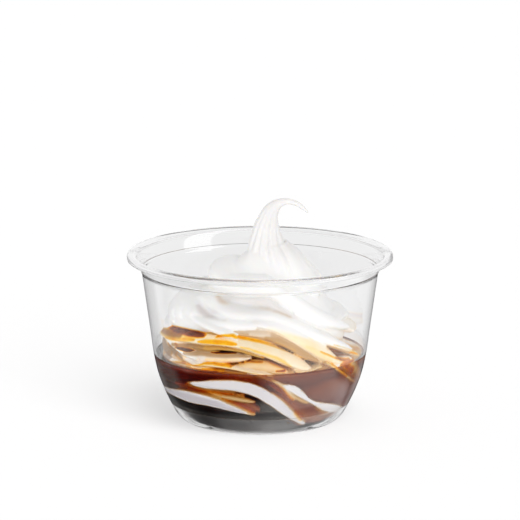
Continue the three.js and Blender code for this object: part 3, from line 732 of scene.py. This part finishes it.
# the tan fold: milky coffee, with painted shade where it lies recessed
stroke([(-8.3, 39.3, 0.59), (-3.4, 39.1, 0.74), (2.6, 39, 0.81)],
       0.08, 0.4, 0.7)
stroke([(1.4, 37.7, 0.81), (8.6, 36.8, 1.11), (14.5, 35.1, 1.19), (20.4, 33.1, 1.19), (26.6, 30.8, 1.11), (31.8, 28.7, 0.81)],
       0.12, 0.95, 0.6)
stroke([(7.4, 36.2, 0.52), (13.4, 34.5, 0.52), (18.2, 33.1, 0.44)],
       0.32, 0.8, 0.8)
stroke([(-6.8, 43.4, 0.37), (-1, 43.5, 0.52), (4.1, 43.5, 0.33)],
       0.15, 0.0, 0.9)
stroke([(2.7, 41.7, 0.52), (7.5, 41, 0.89), (12.9, 40, 1.26), (18.7, 38.3, 1.48), (24.5, 36.1, 1.56), (30.6, 33.6, 1.48)],
       0.155, 0.0, 0.6)
stroke([(25, 34.4, 0.52), (29.8, 32.7, 0.81), (34.8, 30.5, 0.96), (40.2, 28.3, 0.81)],
       0.2, 0.0, 0.7)
stroke([(33.6, 32, 0.3), (39, 30.3, 0.37), (43.5, 28.8, 0.33)],
       0.43, 0.0, 0.7)
stroke([(40.2, 32.8, 0.81), (60.5, 28.5, 1.04), (66.4, 26.7, 0.74)],
       0.19, 0.35, 0.7)
stroke([(44.5, 28.7, 0.41), (51.5, 27.1, 0.59), (56.3, 26.8, 0.52)],
       0.62, 0.4, 0.7)
stroke([(54.9, 29.7, 0.3), (63.2, 28, 0.33)],
       0.48, 0.0, 0.7)
stroke([(57.6, 30.1, 0.37), (94.2, 25.6, 0.89)],
       0.48, 0.6, 0.7)
stroke([(68.1, 25.4, 0.37), (54.7, 26, 0.74), (48.6, 25.7, 0.67)],
       0.62, 0.0, 0.7)
# painted shade: the strip under the upper lobe, the crease line below it and the crease beside the left lobe
stroke([(-35.1, 50.1, 0.93), (-26.4, 49.1, 1.3), (-14.3, 48.8, 1.67), (-1.3, 49, 1.85), (6.4, 48.1, 1.48), (14.7, 46.3, 0.93), (22.5, 44, 0.44)],
       0.0, 0.1, 0.6, 0.16)
stroke([(-39.3, 50.6, 0.3), (-31.1, 49, 0.3), (-24.2, 48.2, 0.3), (-15.7, 47.8, 0.3), (-6.2, 47.6, 0.3), (3.2, 47.4, 0.3), (11.5, 46.2, 0.26), (18, 44.6, 0.26)],
       0.12, 0.5, 0.6, 0.34)
stroke([(-52.6, 46.8, 0.22), (-45.9, 44.9, 0.44), (-41.8, 43.7, 0.41), (-35.1, 43.6, 0.3), (-25.5, 43.3, 0.19)],
       0.0, 0.12, 0.5, 0.42)
stroke([(37.6, 27.8, 0.52), (39.9, 26.7, 0.81), (44, 25.2, 0.67)],
       0.26, 0.45, 0.7)
stroke([(2.9, 19.5, 0.3), (7.9, 17.7, 0.44), (13.2, 15.1, 0.67), (18.1, 12.3, 0.89), (23.2, 9.4, 1.11), (28.6, 6.6, 1.11)],
       0.33, 0.0, 0.7)
stroke([(2.2, 22.3, 0.44), (7.3, 20.9, 0.81), (11.7, 19, 0.89), (15.7, 16.6, 0.74), (19.3, 14.8, 0.52)],
       0.4, 0.0, 0.7)
stroke([(33.3, 12, 0.3), (40.9, 9.6, 0.52)],
       0.36, 0.0, 0.7)
stroke([(-22.5, 15.2, 0.3), (-15.5, 14, 0.59), (-9.6, 12.5, 0.96), (-4.7, 10.6, 0.96)],
       0.38, 0.0, 0.7)
stroke([(-73, 17.4, 0.44), (-56.4, 18.8, 0.59), (-46.3, 19.3, 0.52)],
       0.4, 0.0, 0.7)
stroke([(-46.6, 17.4, 0.37), (-36.6, 17.3, 0.59), (-26.1, 17.4, 0.52), (-16.6, 17.2, 0.37)],
       0.5, 0.0, 0.7)
stroke([(-80.6, 20, 0.93), (-57.9, 21.7, 1.11), (-42.8, 22.1, 0.96), (-29.4, 22.8, 0.74), (-17.7, 23.3, 0.59), (-7.2, 23, 0.52)],
       0.44, 0.0, 0.7)
stroke([(40.9, 26.9, 0.44), (46.8, 24.1, 0.59), (55.6, 20.7, 0.67)],
       0.47, 0.0, 0.7)
stroke([(51.8, 25.4, 1.11), (60.9, 22.2, 1.48)],
       0.58, 0.0, 0.7)
# painted shade: the white folds made a little greyer
stroke([(-36.7, 46.2, 1.48), (-24.8, 47, 2.22), (-12.5, 46.5, 2.59), (2.8, 44.6, 2.96), (16.4, 41.7, 2.22), (26, 38.9, 1.48)],
       0.0, 0.0, 0.5, 0.13)
stroke([(37.1, 38.8, 1.11), (50, 36.8, 1.85), (72.5, 32.9, 2.22), (108, 26, 1.85)],
       0.02, 0.0, 0.7, 0.05)
# painted shade: the bands pressed against the wall made greyer
stroke([(-76, 12.7, 0.93), (-56.2, 13.7, 1.3), (-45, 13.5, 1.85), (-33.7, 13.3, 1.48), (-25.7, 12.9, 1.48), (-17.8, 11.5, 1.11), (-10.6, 10.6, 0.74), (-7.6, 5.9, 0.37)],
       0.0, 0.0, 0.4, 0.78)
stroke([(-43.9, 19.5, 0.56), (-35.5, 19.8, 1.11), (-26, 20.4, 2.04), (-17.3, 20.8, 2.22), (-9.4, 20.1, 2.22), (0.9, 18.4, 2.22), (8.9, 14.6, 2.22), (19, 10, 1.48)],
       0.0, 0.0, 0.5, 0.56)
stroke([(15, 19.8, 1.11), (20.3, 18.1, 1.3), (26.1, 15.8, 1.11), (34.1, 12.4, 1.11), (43.6, 10.2, 1.48), (58.2, 7.4, 1.3)],
       0.0, 0.0, 0.5, 0.42)
# streaks round the back; the first is painted shade, mauve and greyer, in the left pocket
stroke([(-106, 29.0, 1.6), (-94, 29.2, 2.6), (-84, 28.6, 2.8), (-76, 28.2, 2.4), (-69, 28.2, 1.6)], 0.2, 0.6, 0.6, 0.95)
for k in range(6):
    a0 = 118 + 27 * k
    b = math.sin(2.1 * k)
    stroke([(a0, 34.5 + 2 * b, 0.4), (a0 + 12, 33.6 + 2 * b, 1.0), (a0 + 30, 30.4 + b, 0.5)], 0.46 + 0.3 * math.sin(1.3 * k + 1), 0.1, 0.8)
# soft edges on the ledges of the upper coils
ends = np.empty(len(soft_serve.data.edges) * 2, np.int32)
soft_serve.data.edges.foreach_get("vertices", ends)
ends = ends.reshape(-1, 2)
degree = np.maximum(np.bincount(ends.ravel(), minlength=len(cz)), 1)
blend = 0.6 * smooth(41.0, 44.0, cz)
for i in range(3):
    for values in (film_and_shade, milk_and_shade, painted_shade):
        total = np.bincount(ends[:, 0], values[ends[:, 1]], len(cz)) + np.bincount(ends[:, 1], values[ends[:, 0]], len(cz))
        values += blend * (total / degree - values)
film_and_shade = np.clip(film_and_shade, 0.0, 1.0)
milk_and_shade = np.clip(milk_and_shade, 0.0, 1.0)
# stored on the cream: the coffee layers, also used as painted shade, and the painted shade
for key, values in (("coffee_film_and_shade", film_and_shade), ("coffee_milk_and_shade", milk_and_shade), ("cream_painted_shade", painted_shade)):
    attr = soft_serve.data.attributes.new(key, "FLOAT", "POINT")
    attr.data.foreach_set("value", values.astype(np.float32))

# ------------------------------------------------------------------ cup
foot_side = [(0.0, 0.12), (12.0, 0.12), (20.0, 0.12), (24.0, 0.12), (25.7, 0.38), (26.95, 1.1), (28.15, 2.25), (29.4, 3.62), (30.93, 5.36),
             (32.05, 6.62), (32.42, 7.05), (32.6, 7.15), (32.72, 7.02), (32.6, 6.75), (31.75, 5.05), (30.62, 3.15), (29.6, 1.9),
             (28.5, 1.0), (27.5, 0.46), (26.8, 0.2), (26.4, 0.06), (26.35, 0.0), (26.6, 0.0)]
zs = np.concatenate([np.linspace(0, 3, 8), np.linspace(3, 54.1, 38)[1:]])
outer_wall = [(float(hermite([p[1] for p in OUTER], [p[0] for p in OUTER], z)), float(z)) for z in zs]
shoulder_out = [(43.5, 54.9), (43.57, 55.25), (43.7, 55.5), (43.87, 55.7), (44.0, 55.95), (44.07, 56.15), (44.07, 56.22), (43.9, 56.4),
                (43.92, 56.48), (44.16, 56.72), (44.28, 57.0), (44.6, 58.0),
                (44.95, 59.0), (45.35, 59.75), (45.85, 60.3), (46.45, 60.7), (47.05, 60.97), (47.6, 61.12), (48.02, 61.08),
                (48.24, 60.84), (48.3, 60.5)]
lip_arc = arc_points(48.65, 60.45, 0.35, 0.35, -170, -10, 7)
lip_in = [(49.0, 60.72), (48.99, 60.78), (48.84, 60.93), (48.86, 61.0), (48.98, 61.14), (48.96, 61.3), (48.84, 61.65), (48.55, 62.0), (48.15, 62.25), (47.65, 62.32), (47.05, 62.2), (46.4, 61.9),
          (45.8, 61.5), (45.25, 60.9), (44.8, 60.15), (44.4, 59.2), (44.05, 58.2), (43.75, 57.2), (43.52, 56.4), (43.38, 56.04),
          (43.18, 55.76), (43.0, 55.55), (42.88, 55.3), (42.8, 54.95)]
zi = np.concatenate([np.linspace(54.3, 4, 38), np.linspace(4, FLOOR_TOP, 10)[1:]])
inner_wall = [(float(hermite([p[1] for p in INNER], [p[0] for p in INNER], z)), float(z)) for z in zi]
profile = foot_side + outer_wall + shoulder_out + lip_arc + lip_in + inner_wall + [(14.0, FLOOR_TOP), (0.0, FLOOR_TOP)]
cup = turned("clear_cup", profile, 192)

# ------------------------------------------------------------------ coffee
zc = np.concatenate([np.linspace(FLOOR_TOP, 4, 8)[1:], np.linspace(4, LEVEL + 0.3, 30)[1:]])
coffee_prof = [(0.0, FLOOR_TOP - INTO_WALL_COFFEE), (14.0, FLOOR_TOP - INTO_WALL_COFFEE), (24.0, FLOOR_TOP - INTO_WALL_COFFEE)]
coffee_prof += [(float(r_in(z)) + INTO_WALL_COFFEE, float(z)) for z in zc]
top_r = float(r_in(LEVEL + 0.3))
for d, h in ((0.0, 0.29), (0.12, 0.22), (0.3, 0.14), (0.6, 0.07), (1.0, 0.03), (1.6, 0.0), (2.6, 0.0), (6.0, 0.0), (14.0, 0.0), (26.0, 0.0)):
    coffee_prof.append((top_r - d, LEVEL + h))
coffee_prof.append((0.0, LEVEL))
coffee = turned("coffee_pool", coffee_prof, 192)


# ------------------------------------------------------------------ materials
def srgb(r, g, b):
    return tuple((c / 255 / 12.92) if c / 255 <= 0.04045 else ((c / 255 + 0.055) / 1.055) ** 2.4 for c in (r, g, b)) + (1.0,)


def new_material(name):
    m = bpy.data.materials.new(name)
    m.use_nodes = True
    nt = m.node_tree
    return m, nt, nt.nodes["Principled BSDF"], nt.nodes["Material Output"]


def lamps_through(nt, shader, out):
    """Lamp light and bounced light pass a clear surface straight."""
    n = nt.nodes
    path = n.new("ShaderNodeLightPath")
    either = n.new("ShaderNodeMath")
    either.operation = "MAXIMUM"
    nt.links.new(path.outputs["Is Shadow Ray"], either.inputs[0])
    nt.links.new(path.outputs["Is Diffuse Ray"], either.inputs[1])
    clear = n.new("ShaderNodeBsdfTransparent")
    mix = n.new("ShaderNodeMixShader")
    nt.links.new(either.outputs[0], mix.inputs[0])
    nt.links.new(shader.outputs[0], mix.inputs[1])
    nt.links.new(clear.outputs[0], mix.inputs[2])
    nt.links.new(mix.outputs[0], out.inputs["Surface"])
    return clear


mat_cup, nt, bsdf, out = new_material("clear_plastic")
bsdf.inputs["Base Color"].default_value = (1, 1, 1, 1)
bsdf.inputs["Roughness"].default_value = 0.0
bsdf.inputs["IOR"].default_value = 1.52
bsdf.inputs["Transmission Weight"].default_value = 1.0
clear = lamps_through(nt, bsdf, out)
clear.inputs["Color"].default_value = (1, 1, 1, 1)
vol = nt.nodes.new("ShaderNodeVolumeAbsorption")
vol.inputs["Color"].default_value = (0.5, 0.44, 0.54, 1)
vol.inputs["Density"].default_value = 8.0
nt.links.new(vol.outputs[0], out.inputs["Volume"])
cup.data.materials.append(mat_cup)

mat_coffee, nt, bsdf, out = new_material("coffee_liquid")
bsdf.inputs["Base Color"].default_value = (1, 1, 1, 1)
bsdf.inputs["Roughness"].default_value = 0.0
bsdf.inputs["IOR"].default_value = 1.34
bsdf.inputs["Transmission Weight"].default_value = 1.0
lamps_through(nt, bsdf, out)
vol = nt.nodes.new("ShaderNodeVolumeAbsorption")
vol.inputs["Color"].default_value = (0.825, 0.575, 0.07, 1)
vol.inputs["Density"].default_value = 1700.0
nt.links.new(vol.outputs[0], out.inputs["Volume"])
coffee.data.materials.append(mat_coffee)

mat_cream, nt, bsdf, out = new_material("soft_serve_cream")
n = nt.nodes
at = n.new("ShaderNodeAttribute")
at.attribute_name = "coffee_film_and_shade"
tc = n.new("ShaderNodeTexCoord")
noise = n.new("ShaderNodeTexNoise")
noise.inputs["Scale"].default_value = 420.0
noise.inputs["Detail"].default_value = 5.0
nt.links.new(tc.outputs["Object"], noise.inputs["Vector"])
sub = n.new("ShaderNodeMath")
sub.operation = "SUBTRACT"
sub.inputs[1].default_value = 0.5
nt.links.new(noise.outputs["Fac"], sub.inputs[0])
scale = n.new("ShaderNodeMath")
scale.operation = "MULTIPLY"
nt.links.new(sub.outputs[0], scale.inputs[0])
nt.links.new(at.outputs["Fac"], scale.inputs[1])
gain = n.new("ShaderNodeMath")
gain.operation = "MULTIPLY_ADD"
gain.inputs[1].default_value = 0.55
nt.links.new(scale.outputs[0], gain.inputs[0])
nt.links.new(at.outputs["Fac"], gain.inputs[2])
ramp = n.new("ShaderNodeValToRGB")
stops = [(0.0, (251, 250, 248)), (0.08, (254, 243, 226)), (0.17, (255, 229, 184)), (0.27, (254, 211, 122)),
         (0.40, (252, 188, 28)), (0.52, (232, 138, 18)), (0.65, (176, 84, 18)), (0.80, (112, 48, 24)), (1.0, (54, 25, 18))]
el = ramp.color_ramp.elements
el[0].position, el[0].color = stops[0][0], srgb(*stops[0][1])
el[1].position, el[1].color = stops[-1][0], srgb(*stops[-1][1])
for p, c in stops[1:-1]:
    e = el.new(p)
    e.color = srgb(*c)
nt.links.new(gain.outputs[0], ramp.inputs[0])
# milky coffee tint, also painted shade in the recesses
am = n.new("ShaderNodeAttribute")
am.attribute_name = "coffee_milk_and_shade"
tint = n.new("ShaderNodeMix")
tint.data_type = "RGBA"
tint.inputs[7].default_value = srgb(190, 146, 88)
nt.links.new(am.outputs["Fac"], tint.inputs[0])
nt.links.new(ramp.outputs[0], tint.inputs[6])
# painted shade: darkens the cream colour towards lavender
painted_shade_attr = n.new("ShaderNodeAttribute")
painted_shade_attr.attribute_name = "cream_painted_shade"
painted_shade_mix = n.new("ShaderNodeMix")
painted_shade_mix.data_type = "RGBA"
painted_shade_mix.blend_type = "MULTIPLY"
painted_shade_mix.inputs[7].default_value = (0.45, 0.41, 0.45, 1)
nt.links.new(painted_shade_attr.outputs["Fac"], painted_shade_mix.inputs[0])
nt.links.new(tint.outputs[2], painted_shade_mix.inputs[6])
nt.links.new(painted_shade_mix.outputs[2], bsdf.inputs["Base Color"])
bsdf.inputs["Roughness"].default_value = 0.48
bsdf.inputs["IOR"].default_value = 1.34
bsdf.inputs["Specular IOR Level"].default_value = 0.25
bsdf.inputs["Subsurface Weight"].default_value = 0.35
bsdf.inputs["Subsurface Radius"].default_value = (1.0, 0.85, 0.65)
bsdf.inputs["Subsurface Scale"].default_value = 0.0012
soft_serve.data.materials.append(mat_cream)

for ob, node, slot in ((cup, "cup", "clear_plastic"), (soft_serve, "soft_serve", "soft_serve_cream"),
                       (coffee, "coffee", "coffee_liquid")):
    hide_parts(node)
    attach(ob, "root")

# ------------------------------------------------------------------ stage
me = bpy.data.meshes.new("floor")
S = 30.0
me.from_pydata([(-S, -S, 0), (S, -S, 0), (S, S, 0), (-S, S, 0)], [], [(0, 1, 2, 3)])
floor = bpy.data.objects.new("floor", me)
bpy.context.scene.collection.objects.link(floor)
mat_floor = bpy.data.materials.new("studio_floor")
mat_floor.use_nodes = True
nt = mat_floor.node_tree
nt.nodes.remove(nt.nodes["Principled BSDF"])
matte = nt.nodes.new("ShaderNodeBsdfDiffuse")
matte.inputs["Color"].default_value = (0.14, 0.14, 0.14, 1)
nt.links.new(matte.outputs[0], nt.nodes["Material Output"].inputs["Surface"])
floor.data.materials.append(mat_floor)
# the pale sweep under the object is part of the studio dome for everything but the camera
floor.visible_diffuse = False
floor.visible_glossy = False
floor.visible_transmission = False

scene = bpy.context.scene
world = bpy.data.worlds.new("studio")
scene.world = world
world.use_nodes = True
nt = world.node_tree
n = nt.nodes
bg = n["Background"]
bg.inputs["Strength"].default_value = 1.0


def node(kind, **inputs):
    nd = n.new(kind)
    for k, v in inputs.items():
        nd.inputs[int(k[1:])].default_value = v
    return nd


def link(a, b):
    nt.links.new(a, b)


def math_node(op, a, b=None, c=None):
    nd = n.new("ShaderNodeMath")
    nd.operation = op
    for i, v in enumerate((a, b, c)):
        if v is None:
            continue
        if isinstance(v, (int, float)):
            nd.inputs[i].default_value = v
        else:
            link(v, nd.inputs[i])
    return nd.outputs[0]


def ramp_node(fac, stops, gain):
    nd = n.new("ShaderNodeValToRGB")
    link(fac, nd.inputs[0])
    el = nd.color_ramp.elements
    el[0].position, el[0].color = stops[0][0], (stops[0][1] / gain,) * 3 + (1,)
    el[1].position, el[1].color = stops[-1][0], (stops[-1][1] / gain,) * 3 + (1,)
    for p, v in stops[1:-1]:
        e = el.new(p)
        e.color = (v / gain,) * 3 + (1,)
    return math_node("MULTIPLY", nd.outputs[0], gain)


def choose(fac, a, b):
    """a where fac is 0, b where fac is 1."""
    nd = n.new("ShaderNodeMix")
    nd.data_type = "FLOAT"
    for sock, v in ((nd.inputs[0], fac), (nd.inputs[2], a), (nd.inputs[3], b)):
        if isinstance(v, (int, float)):
            sock.default_value = v
        else:
            link(v, sock)
    return nd.outputs[0]


tcw = n.new("ShaderNodeTexCoord")
sep = n.new("ShaderNodeSeparateXYZ")
link(tcw.outputs["Generated"], sep.inputs[0])
path = n.new("ShaderNodeLightPath")
# bearing of a direction: 0.5 = towards the front, 0.75 = right, 0.25 = left
bearing = math_node("MULTIPLY_ADD", math_node("ARCTAN2", sep.outputs[0], math_node("MULTIPLY", sep.outputs[1], -1.0)),
                    1 / (2 * math.pi), 0.5)
height = math_node("MULTIPLY_ADD", sep.outputs[2], 0.5, 0.5)
upper = ramp_node(height, [(0.0, 1.0), (0.5, 1.0), (0.7, 0.96), (0.82, 0.6), (1.0, 0.5)], 1.0)
upper = math_node("MULTIPLY", upper, math_node("MULTIPLY_ADD", sep.outputs[0], -0.16, 1.03))
lower = math_node("MULTIPLY_ADD", sep.outputs[0], -0.45, math_node("MULTIPLY_ADD", sep.outputs[1], -0.1, 1.22))
AMBIENT = choose(ramp_node(height, [(0.0, 0.0), (0.47, 0.0), (0.53, 1.0), (1.0, 1.0)], 1.0), lower, upper)


def sweep(rows):
    """Brightness of the studio by bearing (deg, 0 = front)."""
    return ramp_node(bearing, [((b + 180) / 360, v) for b, v in rows], 4.0)


STEEP = sweep([(-180, 1.3), (-160, 1.2), (-146, 0.3), (-110, 0.06), (-103, 0.34), (-58, 0.5), (0, 0.9), (30, 1.25), (90, 1.3), (120, 0.6), (146, 0.5),
               (160, 1.2), (180, 1.3)])
MID = sweep([(-180, 1.1), (-162, 1.0), (-152, 0.5), (-142, 0.12), (-80, 0.02), (-20, 0.04), (-3, 0.06), (2, 0.3), (12, 0.8), (30, 1.25), (92, 1.25),
             (106, 1.3), (124, 1.6), (138, 1.1), (148, 0.4), (153, 0.3), (162, 1.0), (180, 1.1)])
LEVELS = sweep([(-180, 0.06), (-168, 0.12), (-157, 0.2), (-149, 0.15), (-140, 0.03), (-80, 0.02), (-20, 0.04), (-3, 0.06), (2, 0.3), (12, 0.8), (30, 1.25),
                (92, 1.25), (97, 0.8), (103, 0.3), (110, 0.1), (140, 0.15), (150, 0.55), (160, 0.55), (168, 0.15), (180, 0.06)])
SIDES = sweep([(-180, 0.06), (-152, 0.03), (-134, 0.03), (-126, 0.85), (-120, 0.85), (-114, 0.55), (-107, 0.65), (-98, 1.0), (-90, 0.95), (-80, 0.5), (-68, 0.1),
               (-55, 0.03), (-20, 0.04), (-3, 0.06), (2, 0.3), (12, 0.8), (30, 1.25), (92, 1.25), (118, 1.15), (135, 0.9), (150, 0.25), (165, 0.06),
               (180, 0.06)])
WINDOW = sweep([(-180, 1.0), (49, 1.0), (51, 4.0), (80, 4.0), (82, 1.0), (180, 1.0)])
below = choose(ramp_node(height, [(0.0, 1.0), (0.055, 1.0), (0.11, 0.0), (1.0, 0.0)], 1.0), MID, STEEP)
below = choose(ramp_node(height, [(0.0, 0.0), (0.24, 0.0), (0.28, 1.0), (1.0, 1.0)], 1.0), below, LEVELS)
# over this edge, which rises towards the back, lies what the steep upper wall mirrors
edge = sweep([(-180, 0.37), (-152, 0.345), (-124, 0.31), (-92, 0.27), (-46, 0.235), (0, 0.219), (46, 0.235), (92, 0.27), (124, 0.31), (152, 0.345),
              (180, 0.37)])
rise = math_node("SUBTRACT", math_node("ADD", height, 0.5), edge)
aside = choose(ramp_node(rise, [(0.0, 0.0), (0.492, 0.0), (0.508, 1.0), (1.0, 1.0)], 1.0), below, SIDES)
above = choose(ramp_node(height, [(0.0, 0.0), (0.47, 0.0), (0.5, 1.0), (1.0, 1.0)], 1.0), 1.0, WINDOW)
REFLECTED = choose(ramp_node(height, [(0.0, 0.0), (0.40, 0.0), (0.43, 1.0), (1.0, 1.0)], 1.0), aside, above)
THROUGH = ramp_node(height, [(0.0, 0.6), (0.05, 0.35), (0.08, 0.12), (0.2, 0.12), (0.255, 0.85), (0.52, 0.85), (0.6, 0.92), (0.75, 0.92), (1.0, 0.8)], 1.0)
# towards the front, what the inside of the wall mirrors
behind = ramp_node(bearing, [(0.0, 1.0), (0.165, 1.0), (0.205, 0.0), (0.80, 0.0), (0.85, 1.0), (1.0, 1.0)], 1.0)
level = ramp_node(height, [(0.0, 0.0), (0.32, 0.0), (0.36, 1.0), (1.0, 1.0)], 1.0)
THROUGH = choose(math_node("MAXIMUM", behind, level), aside, THROUGH)
light = choose(path.outputs["Is Glossy Ray"], AMBIENT, REFLECTED)
light = choose(path.outputs["Is Transmission Ray"], light, THROUGH)
light = choose(path.outputs["Is Camera Ray"], light, 1.2)
link(light, bg.inputs["Color"])


def softbox(name, bearing_deg, elev_deg, dist, target, size, power):
    li = bpy.data.lights.new(name, "AREA")
    li.shape = "RECTANGLE"
    li.size, li.size_y = size
    li.energy = power
    ob = bpy.data.objects.new(name, li)
    a, e = math.radians(bearing_deg), math.radians(elev_deg)
    t = Vector(target)
    ob.location = t + dist * Vector((math.sin(a) * math.cos(e), -math.cos(a) * math.cos(e), math.sin(e)))
    ob.rotation_euler = (t - ob.location).to_track_quat("-Z", "Y").to_euler()
    scene.collection.objects.link(ob)
    ob.visible_camera = False
    return ob


key = softbox("key", 21, 30, 1.5, (0, 0, 0.03), (0.75, 0.75), 6.1)
key.visible_glossy = False
key.visible_transmission = False

# the floor has its own light: a broad one that throws the shadow, and an even one
only = []
for name, energy, turn_deg, elev_deg, casts in (("floor_light", 9.0, 30, 38, True), ("floor_fill", 14.8, 0, 89, False)):
    li = bpy.data.lights.new(name, "SUN")
    li.energy = energy
    li.angle = math.radians(50)
    li.use_shadow = casts
    ob = bpy.data.objects.new(name, li)
    a, e = math.radians(turn_deg), math.radians(elev_deg)
    ob.rotation_euler = Vector((-math.sin(a) * math.cos(e), math.cos(a) * math.cos(e), -math.sin(e))).to_track_quat("-Z", "Y").to_euler()
    scene.collection.objects.link(ob)
    only.append(ob)
only_floor = bpy.data.collections.new("only_floor")
only_floor.objects.link(floor)
for ob in only:
    ob.light_linking.receiver_collection = only_floor
only_object = bpy.data.collections.new("only_object")
for ob in (cup, soft_serve, coffee):
    only_object.objects.link(ob)
key.light_linking.receiver_collection = only_object

# ------------------------------------------------------------------ camera
cam = bpy.data.cameras.new("camera")
cam.sensor_width = 36.0
DIST = 1.6
ELEV = math.radians(12.2)
cam.lens = 36.0 * DIST * 2.714 * 1000 / 520.0
AIM = Vector((0, 0, 0.05936))
cam_ob = bpy.data.objects.new("camera", cam)
cam_ob.location = AIM + Vector((0, -DIST * math.cos(ELEV), DIST * math.sin(ELEV)))
cam_ob.rotation_euler = (AIM - cam_ob.location).to_track_quat("-Z", "Y").to_euler()
cam.clip_start, cam.clip_end = 0.05, 60.0
scene.collection.objects.link(cam_ob)
scene.camera = cam_ob
scene.view_settings.view_transform = "Standard"
scene.view_settings.look = "None"
scene.cycles.max_bounces = 48
scene.cycles.transmission_bounces = 40
scene.cycles.transparent_max_bounces = 24
scene.cycles.glossy_bounces = 32
scene.cycles.diffuse_bounces = 6
